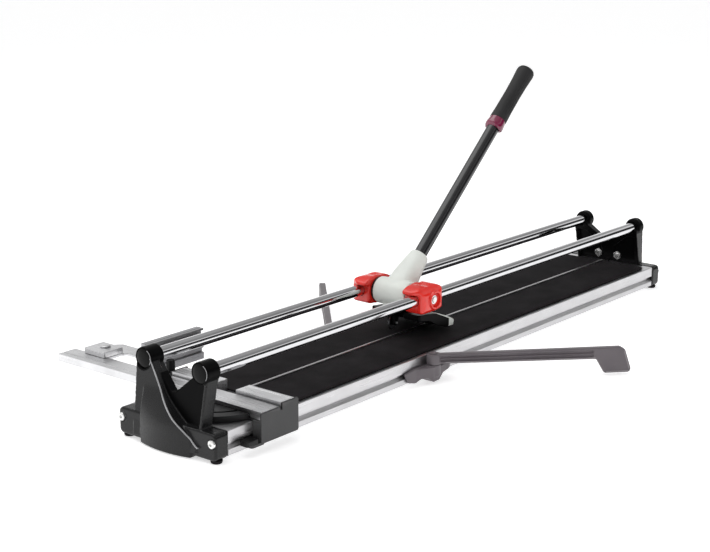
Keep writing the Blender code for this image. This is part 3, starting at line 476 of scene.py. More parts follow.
def cast(obj, grid, passes):
    """Remeshes a solid on a fine grid and smooths it, so that its edges and inner corners are rounded."""
    remesh = obj.modifiers.new("grid", "REMESH")
    remesh.mode = "VOXEL"
    remesh.voxel_size = grid
    smooth = obj.modifiers.new("smooth", "SMOOTH")
    smooth.factor = 0.5
    smooth.iterations = passes
    return applied(obj)


def finish_piece(obj, finish, body, replaced=None, angle=35):
    """Gives a piece its material, its body and the CAD node it stands for. Edges above the angle stay
    sharp; a cast piece has an angle of 0 and is smooth all over."""
    obj.data.materials.clear()
    obj.data.materials.append(FINISH[finish])
    obj.data.shade_smooth()
    if angle:
        obj.data.set_sharp_from_angle(angle=math.radians(angle))
        even = obj.modifiers.new("even", "WEIGHTED_NORMAL")
        even.keep_sharp = True
        applied(obj)
    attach(obj, body)
    if replaced:
        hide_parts(replaced)


FINISH = finishes()


def carry_over():
    """CAD nodes that keep their shape take the finer materials."""
    for entry in frame["record"]["subparts"]:
        materials = nodes[entry["node"]].data.materials
        materials.clear()
        materials.append(FINISH[entry["material_slot"]])


# ---- rail supports

WEB = [(-0.0370, 0.1090), (-0.0240, 0.0872), (-0.0080, 0.0652), (0.0130, 0.0478), (0.0340, 0.0340),
       (0.0523, 0.0188)]
WEB_LINE = blend_curve(WEB)
LEAN, CORE_LEAN, LEAN_TOP = 0.157, 0.30, 0.0980
FOOT_X = 0.0430


def leaned(bm, inner_lean=LEAN):
    """Tilts a tower layer about the height of the hubs: its foot stands further out than its head."""
    middle = sum(v.co.y for v in bm.verts) / len(bm.verts)
    for v in bm.verts:
        v.co.y -= (LEAN_TOP - v.co.z) * (LEAN if v.co.y < middle else inner_lean)
    return bm


def web_edge(z):
    """X of the web's edge at a height."""
    for one, two in zip(WEB_LINE, WEB_LINE[1:]):
        if two.y <= z <= one.y:
            share = (one.y - z) / (one.y - two.y)
            return one.x + (two.x - one.x) * share
    return WEB_LINE[0].x if z > WEB_LINE[0].y else WEB_LINE[-1].x


def front_face(x, z, hub_out):
    """How far out the proud front surface stands: leaning above, a shallow bulge at the foot."""
    lean = hub_out + LEAN * (LEAN_TOP - z)
    share = min(1.0, max(0.0, (0.0760 - z) / 0.0480))
    share = share * share * (3 - 2 * share)
    bulge = 0.5326 + 0.0064 * (1 - (x / FOOT_X) ** 2)
    return lean + share * (bulge - lean)


def bulged_foot(hub_out):
    """The proud surface's lower part, as wide at each height as the web's edge leaves it."""
    rings, back, steps = [], -0.5120, 24
    for i in range(steps + 1):
        z = 0.0012 + 0.0748 * i / steps
        right = min(FOOT_X, web_edge(z))
        row = [-FOOT_X + (right + FOOT_X) * k / steps for k in range(steps + 1)]
        rings.append([(x, -front_face(x, z, hub_out), z) for x in row]
                     + [(right, back, z), (-FOOT_X, back, z)])
    return loft(rings)


def support(name, end, hub_out):
    """Built as the front one, with Y running outwards as negative, then turned for the rear."""
    front, hub_length = -hub_out, hub_out - 0.4962
    block = plate(arcs(rectangle(-0.083, 0.0042, 0.083, 0.0382), 0.0065), "XZ", -0.5300, -0.5082, 0.0026)
    half = [(0.0022, 0.0702 if end < 0 else 0.0745, 0.006), (0.0350, 0.0985, 0.004), (0.0400, 0.1070),
            (0.0540, 0.1070), (0.0600, 0.1000, 0.004), (0.0565, 0.0300)]
    core = leaned(plate(arcs(both_halves(half), 0.0, 5), "XZ", front + 0.0075, front + 0.0215), CORE_LEAN)
    web = [tuple(p) for p in WEB_LINE] + [(0.0520, 0.0090), (-0.0565, 0.0090), (-0.0565, 0.0380),
                                          (-0.0600, 0.1000), (-0.0540, 0.1070)]
    proud = leaned(plate(web, "XZ", front, front + 0.0120))
    flange = leaned(plate([(0.0525, 0.0340), (0.0568, 0.0340), (0.0602, 0.0990), (0.0560, 0.1040)], "XZ",
                          front + 0.0010, front + 0.0200))
    adds, cuts = [block, core, proud, flange, bulged_foot(hub_out)], []
    for x in (RAIL_X, -RAIL_X):
        adds.append(turned([(0, 0), (0.0132, 0), (0.0141, 0.0010), (0.0141, hub_length - 0.0012),
                            (0.0128, hub_length), (0, hub_length)], (x, front, RAIL_Z), (0, 1, 0)))
        cuts.append(rod((x, -0.4700, RAIL_Z), (x, front + 0.0055, RAIL_Z), 0.0087))
        cuts.append(rod((x, front + 0.0030, RAIL_Z), (x, -0.5400, RAIL_Z), 0.0128))
    for x in (SCREW_X, -SCREW_X):
        cuts.append(rod((x, -0.5286, SCREW_Z), (x, -0.5400, SCREW_Z), 0.0064))
        cuts.append(rod((x, -0.5050, SCREW_Z), (x, -0.5400, SCREW_Z), 0.0030))
    for side in (1, -1):
        pocket = arcs([(side * 0.0090, 0.0460), (side * 0.0515, 0.0460), (side * 0.0550, 0.0880),
                       (side * 0.0400, 0.0880), (side * 0.0130, 0.0665)], 0.0030, 4)
        cuts.append(leaned(plate(pocket, "XZ", front + 0.0140, front + 0.0400), CORE_LEAN))
        cuts.append(rod((side * NUT_X, -0.4850, NUT_Z), (side * NUT_X, -0.5180, NUT_Z), 0.0046))
    obj = cast(combined(name, adds, cuts), 0.0009, 3)
    finish_piece(obj, "black_casting", "base", f"{'rear' if end > 0 else 'front'}_support", angle=0)
    # Painted shade: the hubs, hollows and rear inner faces get the darker copy of the finish.
    paint_shade_on_recesses(obj, end, hub_out)
    if end > 0:
        obj.data.transform(Matrix.Rotation(math.pi, 4, "Z"))


def paint_shade_on_recesses(obj, end, hub_out):
    """Painted shade: the hubs, the hollow beside the web and, at the rear, the inner faces take a darker,
    shaded copy of the casting's finish.
    """
    obj.data.materials.append(FINISH["black_recess"])
    for face in obj.data.polygons:
        x, y, z = face.center
        edge, facing = web_edge(z), face.normal.y
        hub = any(math.hypot(x - side * RAIL_X, z - RAIL_Z) < 0.0150 for side in (1, -1))
        sunk = -y < hub_out + LEAN * (LEAN_TOP - z) - 0.0012
        recess = edge + 0.0008 < x < 0.0535 and z > 0.0375 and sunk and facing < -0.3
        flank = edge + 0.0010 < x < min(edge + 0.0300, 0.0300) and 0.0400 < z < 0.1050 and facing < 0.5
        inside = z > 0.0300 and facing > 0.3
        # Faces in these places get painted shade.
        if hub or recess or (inside if end > 0 else flank):
            face.material_index = 1


def front_web_rib():
    """A thin raised edge that sweeps down the front support's face, coloured light grey as a painted
    highlight along it.
    """
    line = blend_curve([(-0.0385, 0.1085), *WEB[1:], (0.0560, 0.0175)], 8)
    rings = []
    for i, p in enumerate(line):
        ahead = line[min(i + 1, len(line) - 1)] - line[max(i - 1, 0)]
        across = Vector((-ahead.y, ahead.x)).normalized()
        share = i / (len(line) - 1)
        half = 0.00072 * min(1, 8 * share + 0.3, 8 * (1 - share) + 0.3)
        out = front_face(p.x, p.y, FRONT_HUB)
        if p.y < 0.0250:
            out = max(0.5300, front_face(min(p.x, FOOT_X), p.y, FRONT_HUB))
        ring = []
        for k in range(10):
            a = 2 * math.pi * k / 10
            q = p - across * 0.0006 + across * (half * math.cos(a))
            ring.append((q.x, -out + 0.0002 - 0.0012 * math.sin(a), q.y))
        rings.append(ring)
    finish_piece(mesh_object("front_web_rib", loft(rings)), "rib_edge", "base")


def rail_and_caps():
    """Polished rails, domed end caps and a painted highlight: a bright arc round each front cap's rim."""
    front, rear = 0.5140, 0.5050
    length = front + rear
    rail = [(0, 0), (0.0076, 0), (0.0082, 0.0006), (0.0082, length - 0.0006), (0.0076, length), (0, length)]
    dome = [(0, -0.0016), (0.0070, -0.0013), (0.0112, -0.0006), (0.0122, 0.0001), (0.0125, 0.0012),
            (0.0125, 0.0032), (0, 0.0032)]
    for side, name in SIDES:
        x = side * RAIL_X
        obj = mesh_object(f"rail_{name}", turned(rail, (x, -front, RAIL_Z), (0, 1, 0), 96))
        finish_piece(obj, "chrome", "base", f"guide_rail_{name}")
        for (end, place), out in zip(ENDS, (0.5180, 0.5090)):
            cap = mesh_object(f"cap_{place}_{name}", turned(dome, (x, end * out, RAIL_Z), (0, -end, 0)))
            finish_piece(cap, "cap_plastic", "base", f"rail_cap_{place}_{name}")
        # A thin light-grey arc in front of each front cap's rim, a painted highlight.
        outer = sweep((x, RAIL_Z), (0.0122, 0.0122), range(-36, 61, 6))
        inner = sweep((x - 0.0022, RAIL_Z + 0.0002), (0.0126, 0.0122), range(54, -31, -6))
        cap_painted_highlight = mesh_object(f"cap_rim_{name}", plate(outer + inner, "XZ", -0.51835, -0.51775, 0.0001, 1))
        finish_piece(cap_painted_highlight, "rib_edge", "base")


def end_screws():
    """Pan-head screws with a hexagon socket."""
    for end, place in ENDS:
        for side, name in SIDES:
            seat = Vector((side * SCREW_X, end * 0.5326, SCREW_Z))
            head = turned([(0, 0), (0.0036, 0), (0.0050, 0.0006), (0.0054, 0.0016), (0.0054, 0.0030),
                           (0, 0.0030)], seat, (0, -end, 0))
            socket = rod(seat - Vector((0, end * -0.002, 0)), seat - Vector((0, end * 0.0016, 0)), 0.0024,
                         segments=6)
            obj = combined(f"screw_{place}_{name}", [head], [socket])
            finish_piece(obj, "zinc", "base", f"end_screw_{place}_{name}", angle=40)


def tension_bolts():
    """Hexagon nuts on washers at the foot of the rear support's pockets."""
    for side, name in SIDES:
        x = side * NUT_X
        stud = turned([(0, 0), (0.0040, 0), (0.0045, 0.0005), (0.0045, 0.0190), (0, 0.0190)],
                      (x, 0.4990, NUT_Z), (0, 1, 0), 32)
        washer = turned([(0, 0), (0.0088, 0), (0.0092, 0.0004), (0.0092, 0.0016), (0, 0.0016)],
                        (x, 0.5066, NUT_Z), (0, 1, 0))
        nut = plate(sweep((0, 0), (0.0074, 0.0074), range(30, 390, 60)), "XZ", 0.0, 0.0056, 0.0006, 2)
        moved(nut, Matrix.Translation((x, 0.5011, NUT_Z)))
        obj = combined(f"tension_nut_{name}", [stud, washer, nut])
        finish_piece(obj, "zinc", "base", f"tension_bolt_{name}")


def rubber_feet():
    profile = [(0, 0), (0.0062, 0), (0.0070, 0.0008), (0.0076, 0.0039), (0, 0.0039)]
    for end, place in ENDS:
        for side, name in SIDES:
            foot = turned(profile, (side * 0.0745, end * 0.5205, 0), (0, 0, 1), 40)
            finish_piece(mesh_object(f"foot_{place}_{name}", foot), "rubber", "base",
                         f"rubber_foot_{place}_{name}")


# ---- bed

def bed_profile():
    """The bed's section: a lipped top, and on each side a groove whose lower lip slopes outwards."""
    low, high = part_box("base_extrusion")
    half = [(0.0019, 0.0366), (0.0019, 0.0378), (0.0800, 0.0378), (0.0811, 0.0374), (0.0815, 0.0365),
            (0.0815, 0.0226), (0.0811, 0.0222), (0.0765, 0.0222), (0.0765, 0.0182), (0.0772, 0.0180),
            (0.0811, 0.0144), (0.0815, 0.0136), (0.0815, 0.0070), (0.0810, 0.0062), (0.0790, 0.0060),
            (0.0660, 0.0060), (0.0655, 0.0080), (0.0520, 0.0080), (0.0515, 0.0060), (0.0120, 0.0060),
            (0.0115, 0.0080), (0.0, 0.0080)]
    outline = half + [(-x, z) for x, z in reversed(half[:-1])]
    obj = mesh_object("bed_profile", plate(outline, "XZ", low[1], high[1]))
    finish_piece(obj, "aluminium", "base", "base_extrusion", angle=30)


def bed_top():
    """A rubber pad on each side of the snapping rib."""
    for side, name in SIDES:
        near, far = sorted((side * 0.0024, side * 0.0760))
        pad = plate(arcs(rectangle(near, -0.4030, far, 0.4850), 0.0012, 3), "XY", 0.0381, 0.0415, 0.0007)
        finish_piece(mesh_object(f"deck_pad_{name}", pad), "rubber", "base", f"rubber_pad_{name}")
    rib = plate([(-0.0015, 0.0369), (0.0015, 0.0369), (0.0015, 0.0428), (0.0008, 0.0436), (-0.0008, 0.0436),
                 (-0.0015, 0.0428)], "XZ", -0.4030, 0.4850)
    finish_piece(mesh_object("snap_rib", rib), "aluminium", "base", "cutting_rib")


# ---- carriage

def slider(side, name):
    """A claw over the rail in front, a sleeve round it behind and a flange against the barrel."""
    c = HINGE.y
    bolt_y, bolt_z = c + 0.0070, RAIL_Z - 0.0014
    outline = [(-0.0296, 0.0085, 0.0012), (-0.0285, 0.0135, 0.003), (-0.0180, 0.0182, 0.006),
               (-0.0080, 0.0200, 0.008), (0.0020, 0.0170, 0.012), (0.0140, 0.0196, 0.010),
               (0.0285, 0.0150, 0.010), (0.0318, 0.0040, 0.010), (0.0295, -0.0145, 0.012),
               (0.0130, -0.0214, 0.008), (-0.0160, -0.0190, 0.005), (-0.0218, -0.0160, 0.004),
               (-0.0216, 0.0000, 0.010), (-0.0205, 0.0085, 0.001)]
    near, far = 0.0316, 0.0630
    body = plate(arcs([(c + y, RAIL_Z + z, r) for y, z, r in outline], 0, 5), "YZ", near, far)
    across = plate(arcs([(near, RAIL_Z - 0.0205, 0.004), (0.0560, RAIL_Z - 0.0210, 0.008),
                         (far, RAIL_Z - 0.0140, 0.008), (far, RAIL_Z + 0.0090, 0.008),
                         (0.0560, RAIL_Z + 0.0175, 0.009), (0.0420, RAIL_Z + 0.0205, 0.008),
                         (near, RAIL_Z + 0.0205, 0.004)], 0, 8), "XZ", c - 0.05, c + 0.05)
    plan = plate(arcs([(near, c - 0.0300, 0.004), (0.0470, c - 0.0300, 0.004), (far, c - 0.0190, 0.010),
                       (far, c + 0.0240, 0.010), (0.0540, c + 0.0325, 0.009), (near, c + 0.0325, 0.005)],
                      0, 8), "XY", 0.0500, 0.1500)
    obj = cut(mesh_object(f"slider_{name}", body), [
        ("INTERSECT", across), ("INTERSECT", plan),
        ("UNION", rod((near, c, RAIL_Z), (0.0376, c, RAIL_Z), 0.0205)),
        ("DIFFERENCE", rod((0.0480, c - 0.0010, RAIL_Z + 0.0300), (0.0700, c - 0.0010, RAIL_Z + 0.0200),
                           0.0085))])
    obj = cut(cast(obj, 0.0011, 16), [
        ("UNION", ball((0.0535, bolt_y, RAIL_Z - 0.0020), 0.0172, (0.60, 1.22, 1.00))),
        ("UNION", rod((0.0560, bolt_y, bolt_z), (0.0656, bolt_y, bolt_z), 0.0130)),
        ("DIFFERENCE", rod((0.0606, bolt_y, bolt_z), (0.0700, bolt_y, bolt_z), 0.0100))])
    obj = cut(cast(obj, 0.0007, 5), [
        ("DIFFERENCE", rod((RAIL_X, c - 0.05, RAIL_Z), (RAIL_X, c + 0.05, RAIL_Z), 0.0087)),
        ("DIFFERENCE", rod((0.0200, c, RAIL_Z), (0.0352, c, RAIL_Z), 0.0066))])
    if side < 0:
        mirrored(obj)
    finish_piece(obj, "red_plastic", "carriage", f"rail_slider_{name}", angle=50)
    x = side * RAIL_X
    ring = combined(f"bush_{name}", [rod((x, c - 0.0200, RAIL_Z), (x, c + 0.0285, RAIL_Z), 0.0089)],
                    [rod((x, c - 0.05, RAIL_Z), (x, c + 0.05, RAIL_Z), 0.0084)])
    finish_piece(ring, "black_plastic", "carriage", f"rail_bush_{name}")
    centre = Vector((side * 0.0608, bolt_y, bolt_z))
    washer = turned([(0, -0.0006), (0.0064, -0.0006), (0.0064, 0.0010), (0.0060, 0.0012), (0, 0.0012)],
                    centre, (side, 0, 0))
    head = plate(sweep((centre.y, centre.z), (0.0048, 0.0048), range(0, 360, 60)), "YZ",
                 *sorted((centre.x + side * 0.0008, centre.x + side * 0.0024)), 0.0004, 2)
    finish_piece(combined(f"side_bolt_{name}", [washer, head]), "zinc", "carriage", f"slider_bolt_{name}")
    thrust = turned([(0.0062, 0), (0.0170, 0), (0.0174, 0.0004), (0.0174, 0.0026), (0.0170, 0.0030),
                     (0.0062, 0.0030), (0.0062, 0)], (side * 0.0284, c, RAIL_Z), (side, 0, 0))
    finish_piece(mesh_object(f"thrust_washer_{name}", thrust), "black_plastic", "carriage")


def handle_point(distance, off=0.0, side=0.0):
    """A point along the lever's axis, moved off it upwards and sideways."""
    return HANDLE_START + HANDLE_ALONG * distance + HANDLE_ACROSS * off + Vector((side, 0, 0))


def about_handle(point, start):
    """How far along the handle a point is, its offset from the axis and its angle round it."""
    offset = point - handle_point(start)
    far = offset.dot(HANDLE_ALONG)
    offset -= HANDLE_ALONG * far
    return far, offset, math.atan2(offset.x, offset.dot(HANDLE_ACROSS))


def lever():
    """A barrel across the rails with a neck that turns from square below to round at the tube."""
    barrel = turned([(0, 0), (0.0172, 0), (0.0184, 0.0006), (0.0190, 0.0022), (0.0190, 0.0538),
                     (0.0184, 0.0554), (0.0172, 0.0560), (0, 0.0560)], (-0.0280, HINGE.y, HINGE.z), (1, 0, 0))
    rings, points, power = [], 36, 3.2
    for distance, wide, high, off in ((-0.0700, 0.0200, 0.0190, 0.0010), (-0.0520, 0.0195, 0.0188, 0.0016),
                                      (-0.0400, 0.0182, 0.0178, 0.0018), (-0.0280, 0.0167, 0.0165, 0.0014),
                                      (-0.0140, 0.0153, 0.0150, 0.0007), (-0.0020, 0.0140, 0.0140, 0.0),
                                      (0.0000, 0.0132, 0.0132, 0.0)):
        ring = []
        for k in range(points):
            a = 2 * math.pi * k / points
            ca, sa = math.cos(a), math.sin(a)
            squared = 1 / (abs(ca) ** power + abs(sa) ** power) ** (1 / power)
            share = min(1, max(0, -distance / 0.03))
            reach = 1 + (squared - 1) * share * 0.55
            ring.append(handle_point(distance, off + high * reach * sa, wide * reach * ca))
        rings.append(ring)
    adds = [barrel, loft(rings), box((-0.0130, HINGE.y - 0.0140, 0.0808), (0.0130, HINGE.y + 0.0080, 0.0930)),
            ball(handle_point(-0.0500), 0.0193)]
    cuts = [rod((-0.05, HINGE.y, HINGE.z), (0.05, HINGE.y, HINGE.z), 0.0063),
            rod(handle_point(-0.0350), handle_point(0.02), 0.0097)]
    finish_piece(cast(combined("lever_casting", adds, cuts), 0.0008, 9), "grey_casting", "lever",
                 "lever_body", angle=0)


def handle():
    """The painted tube, a collar with two lobes and a grip with fine grooves above and below."""
    tube = turned([(0, 0), (0.0090, 0), (0.0094, 0.0004), (0.0094, 0.3620), (0.0090, 0.3624), (0, 0.3624)],
                  handle_point(-0.0345), HANDLE_ALONG)
    finish_piece(mesh_object("lever_tube", tube), "black_paint", "lever", "handle_tube")
    collar = turned([(0.0096, 0.0010), (0.0112, 0), (0.0128, 0.0010), (0.0138, 0.0032), (0.0140, 0.0075),
                     (0.0133, 0.0120), (0.0129, 0.0168), (0.0096, 0.0168), (0.0096, 0.0010)],
                    handle_point(COLLAR_START), HANDLE_ALONG, 72)
    lobe_end = 0.0100
    for v in collar.verts:
        far, offset, angle = about_handle(v.co, COLLAR_START)
        if far < lobe_end and offset.length > 0.0105:
            v.co += HANDLE_ALONG * (0.0030 * (0.5 + 0.5 * math.cos(2 * angle)) * (1 - far / lobe_end))
    finish_piece(mesh_object("collar", collar), "crimson_plastic", "lever", "handle_collar")
    profile = [(0.0097, 0), (0.0126, 0), (0.0131, 0.0006), (0.0130, 0.0060), (0.0125, 0.0200),
               (0.0122, 0.0500), (0.0126, 0.0720), (0.0134, 0.0860), (0.0138, 0.0925), (0.0135, 0.0970),
               (0.0121, 0.0998), (0.0095, 0.1008), (0, 0.1008)]
    fine = []
    for (r0, h0), (r1, h1) in zip(profile, profile[1:]):
        steps = max(1, round((h1 - h0) / 0.0012))
        fine += [(r0 + (r1 - r0) * i / steps, h0 + (h1 - h0) * i / steps) for i in range(steps)]
    grip = turned([*fine, profile[-1]], handle_point(GRIP_START), HANDLE_ALONG, 96)
    first, last, fading = 0.008, 0.090, 0.006
    for v in grip.verts:
        far, offset, angle = about_handle(v.co, GRIP_START)
        if first < far < last and offset.length > 0.0115 and abs(math.sin(angle)) > 0.75:
            fade = min(1, (far - first) / fading, (last - far) / fading)
            v.co -= offset.normalized() * 0.0004 * max(0.0, math.cos(angle * 24)) ** 2 * fade
    finish_piece(mesh_object("grip", grip), "grip_rubber", "lever", "handle_grip")


def breaker():
    """Two grey wings with turned-down tips, black below and along their edges."""
    skin = arcs([(-0.0430, 0.0722), (-0.0400, 0.0714, 0.004), (-0.0210, 0.0640), (-0.0060, 0.0572, 0.002),
                 (-0.0012, 0.0540, 0.003), (-0.0030, 0.0466, 0.001), (-0.0150, 0.0470, 0.001),
                 (-0.0158, 0.0586, 0.001), (-0.0210, 0.0606), (-0.0430, 0.0692)], 0.0004, 5)
    below = arcs([(-0.0852, 0.0775), (-0.0620, 0.0750, 0.01), (-0.0428, 0.0716), (-0.0210, 0.0620),
                  (-0.0140, 0.0590), (-0.0140, 0.0480), (-0.0218, 0.0474, 0.003), (-0.0435, 0.0546, 0.01),
                  (-0.0600, 0.0640, 0.01), (-0.0852, 0.0690)], 0.0006, 4)
    plan = arcs([(0.0430, 0.0100, 0.001), (-0.0430, 0.0100, 0.001), (-0.0430, -0.0850, 0.004),
                 (-0.0145, -0.0850, 0.002), (-0.0145, -0.0735, 0.002), (0.0145, -0.0735, 0.002),
                 (0.0145, -0.0850, 0.002), (0.0430, -0.0850, 0.004)], 0, 5)
    casting = cut(mesh_object("foot_casting", plate(skin, "YZ", -0.0424, 0.0424)),
                  [("INTERSECT", plate(plan, "XY", 0.0300, 0.1200))])
    finish_piece(cast(casting, 0.0006, 2), "grey_casting", "lever", "breaker_foot", angle=0)
    underside = cut(mesh_object("foot_underside", plate(below, "YZ", -0.0430, 0.0430)),
                    [("INTERSECT", plate(plan, "XY", 0.0300, 0.1200)),
                     ("UNION", box((-0.0120, -0.0765, 0.0690), (0.0120, -0.0600, 0.0850)))])
    finish_piece(cast(underside, 0.0006, 2), "black_recess", "lever", angle=0)
    for side, name in SIDES:
        near, far = sorted((side * 0.0060, side * 0.0410))
        pad = plate(arcs(rectangle(near, -0.0148, far, -0.0034), 0.0030, 5), "XY", 0.0450, 0.0480, 0.0008)
        finish_piece(mesh_object(f"foot_rubber_{name}", pad), "rubber", "lever", f"foot_pad_{name}")


def wheel():
    """A scoring wheel with a bevelled edge in a slotted holder."""
    y, z = -0.0900, 0.0625
    disc = turned([(0.0018, -0.0012), (0.0095, -0.0012), (0.0109, -0.0001), (0.0109, 0.0001),
                   (0.0095, 0.0012), (0.0018, 0.0012), (0.0018, -0.0012)], (0, y, z), (1, 0, 0), 96)
    finish_piece(mesh_object("score_wheel", disc), "carbide", "wheel", "scoring_wheel")
    fork = arcs([(y - 0.0045, z - 0.0040, 0.0035), (y + 0.0045, z - 0.0040, 0.0035),
                 (y + 0.0110, 0.0805, 0.001), (y - 0.0060, 0.0805, 0.001)], 0, 5)
    obj = combined("wheel_fork", [plate(fork, "YZ", -0.0056, 0.0056, 0.0006, 2)],
                   [box((-0.0022, y - 0.03, 0.0400), (0.0022, y + 0.03, z + 0.0125)),
                    rod((-0.02, y, z), (0.02, y, z), 0.0018)])
    finish_piece(obj, "black_recess", "lever", "wheel_holder")


# ---- side arms

def side_arm(side, name):
    """The folding arm, drawn along +X from its pin: a ribbed bar, a hooked foot and light strips along its
    rims as painted highlights.
    """
    foot = [(0.2395, 0.0040, 0.002), (0.2760, 0.0040, 0.0045), (0.2768, 0.0100, 0.004),
            (0.2680, 0.0370, 0.005), (0.2615, 0.0405, 0.003)]
    bar = [(0.0, 0.0272), (0.2280, 0.0246), *foot, (0.0, 0.0405)]
    adds = [plate(outline, "XZ", -wide, wide, bevel, steps) for outline, wide, bevel, steps in (
        (arcs(bar, 0, 6), 0.0024, 0.0, 1),
        ([(0.0, 0.0374), (0.2560, 0.0374), (0.2660, 0.0374), (0.2615, 0.0405), (0.0, 0.0405)],
         0.0050, 0.0008, 2),
        ([(0.0, 0.0272), (0.2290, 0.0247), (0.2290, 0.0276), (0.0, 0.0300)], 0.0050, 0.0006, 2),
        ([(0.0, 0.0328), (0.2280, 0.0316), (0.2280, 0.0334), (0.0, 0.0346)], 0.0044, 0.0005, 2),
        (arcs([(0.2230, 0.0250, 0.003), (0.2280, 0.0240, 0.002), (0.2395, 0.0040, 0.003), *foot[1:4],
               (0.2615, 0.0405, 0.004), (0.2230, 0.0400, 0.003)], 0, 6), 0.0050, 0.0012, 3))]
    adds.append(turned([(0, 0), (0.0090, 0), (0.0096, 0.0006), (0.0096, 0.0142), (0.0090, 0.0148),
                        (0, 0.0148)], (0, 0, 0.0262), (0, 0, 1)))
    cuts = [rod((0, 0, 0.0100), (0, 0, 0.0500), 0.0038)]
    for face in (1, -1):
        near, far = sorted((face * 0.0037, face * 0.0060))
        cuts.append(plate(arcs([(0.2320, 0.0345, 0.003), (0.2430, 0.0085, 0.003), (0.2715, 0.0085, 0.003),
                                (0.2720, 0.0110, 0.003), (0.2640, 0.0345, 0.004)], 0, 5), "XZ", near, far))
    obj = cast(combined(f"arm_{name}", adds, cuts), 0.0007, 3)
    # Thin lighter strips along the lower rib and the foot's rims: painted highlights.
    edge = combined(f"arm_rims_{name}", [plate(outline, "XZ", -0.0053, 0.0053) for outline in (
        [(0.0160, 0.0287), (0.2260, 0.0264), (0.2260, 0.0272), (0.0160, 0.0295)],
        [(0.2420, 0.0058), (0.2740, 0.0058), (0.2738, 0.0068), (0.2416, 0.0068)],
        [(0.2751, 0.0090), (0.2740, 0.0088), (0.2654, 0.0360), (0.2664, 0.0362)])])
    turn = Matrix.Rotation(ARM_TURN if side > 0 else math.pi - ARM_TURN, 4, "Z")
    for piece in (obj, edge):
        piece.data.transform(Matrix.Translation((side * ARM_X, ARM_Y, 0)) @ turn)
    finish_piece(obj, "arm_plastic", f"arm_{name}", f"side_arm_{name}", angle=0)
    finish_piece(edge, "arm_edge", f"arm_{name}")


def arm_base(side, name):
    """The arm's pin and the toed bracket that holds it against the bed."""
    pin = turned([(0, 0.0428), (0.0044, 0.0428), (0.0052, 0.0424), (0.0056, 0.0413), (0.0035, 0.0413),
                  (0.0035, 0.0145), (0, 0.0145)], (side * ARM_X, ARM_Y, 0), (0, 0, 1), 48)
    finish_piece(mesh_object(f"pivot_pin_{name}", pin), "arm_plastic", "base", f"arm_pin_{name}")
    toes = arcs([(-0.1710, 0.0222, 0.001), (-0.1630, 0.0080, 0.003), (-0.1500, 0.0050, 0.003),
                 (-0.1430, 0.0100, 0.004), (-0.1330, 0.0100, 0.004), (-0.1260, 0.0034, 0.003),
                 (-0.1130, 0.0040, 0.003), (-0.1050, 0.0120, 0.003), (-0.0860, 0.0160, 0.002),
                 (-0.0860, 0.0240, 0.002), (-0.1500, 0.0253, 0.002)], 0, 5)
    plan = arcs([(0.0800, -0.1800), (0.0850, -0.1720), (0.0875, -0.1500), (0.0960, -0.1350),
                 (0.1010, -0.1250), (0.1010, -0.0950), (0.0960, -0.0800), (0.0800, -0.0800)], 0.003, 4)
    base = cut(mesh_object(f"arm_base_{name}", plate(toes, "YZ", 0.0818, 0.1000)), [
        ("INTERSECT", plate(plan, "XY", 0.0, 0.0500)),
        ("UNION", box((0.0770, -0.1560, 0.0187), (0.0865, -0.0900, 0.0219))),
        ("UNION", turned([(0, 0), (0.0090, 0), (0.0098, 0.0010), (0.0098, 0.0157), (0, 0.0157)],
                         (ARM_X, ARM_Y, 0.0102), (0, 0, 1))),
        ("DIFFERENCE", rod((ARM_X, ARM_Y, 0.0140), (ARM_X, ARM_Y, 0.0300), 0.0038))])
    cast(base, 0.0007, 3)
    if side < 0:
        mirrored(base)
    finish_piece(base, "arm_plastic", "base", f"arm_bracket_{name}", angle=0)


# ---- fence and rule

def rule():
    section = arcs([(-0.4620, 0.0400), (-0.4315, 0.0400), (-0.4315, 0.0504), (-0.4520, 0.0504),
                    (-0.4525, 0.0498), (-0.4535, 0.0498), (-0.4540, 0.0504), (-0.4620, 0.0504)], 0.0003, 2)
    finish_piece(mesh_object("rule", plate(section, "YZ", -0.2775, 0.0935, 0.0003, 2)), "rule_aluminium",
                 "rule", "rule_bar")


def fence_side(side, name):
    """One side of the fence: its grooved rail, its end block and the clamp lever in front."""
    near, far = sorted((side * 0.0190, side * 0.0935))
    section = arcs([(-0.4285, 0.0400), (-0.4040, 0.0400), (-0.4040, 0.0546), (-0.4080, 0.0546),
                    (-0.4084, 0.0541), (-0.4092, 0.0541), (-0.4096, 0.0546), (-0.4285, 0.0546)], 0.0003, 2)
    finish_piece(mesh_object(f"shelf_{name}", plate(section, "YZ", near, far, 0.0004, 2)),
                 "fence_aluminium", "base", f"fence_rail_{name}")
    end_block(side, name)
    x, y, radius = side * 0.0890, -0.4740, 0.0070
    outline = arcs([(x - radius, y - 0.0160, 0.003), (x + radius, y - 0.0160, 0.003),
                    (x + radius, y + radius, 0.0069), (x - radius, y + radius, 0.0069)], 0, 8)
    finish_piece(mesh_object(f"clamp_{name}", plate(outline, "XY", 0.0140, 0.0210, 0.0012, 3)),
                 "black_plastic", f"clamp_{name}", f"clamp_lever_{name}")


def fence_plate():
    """The thin plate under the rule and its round front with two curved slots."""
    radius, cut_off = 0.0780, -0.5070
    rim = [(x, max(y, cut_off)) for x, y in sweep((0, FENCE_Y), (radius, -radius),
                                                  [18 + (59 - 18) * i / 40 for i in range(41)])]
    slots = []
    for first, last in ((24, 52), (128, 156)):
        degrees = [first + (last - first) * i / 12 for i in range(13)]
        inner, outer = (sweep((0, FENCE_Y), (r, -r), degrees) for r in (0.0600, 0.0645))
        slots.append(plate(inner + outer[::-1], "XY", 0.0445, 0.0470))
    body = combined("fence_plate", [
        plate(rectangle(-0.0812, -0.4040, 0.0812, -0.4650), "XY", 0.0381, 0.0397),
        plate(both_halves(rim), "XY", 0.0381, 0.0460, 0.0006, 2),
    ], slots)
    finish_piece(body, "black_plastic", "base", "fence_body")


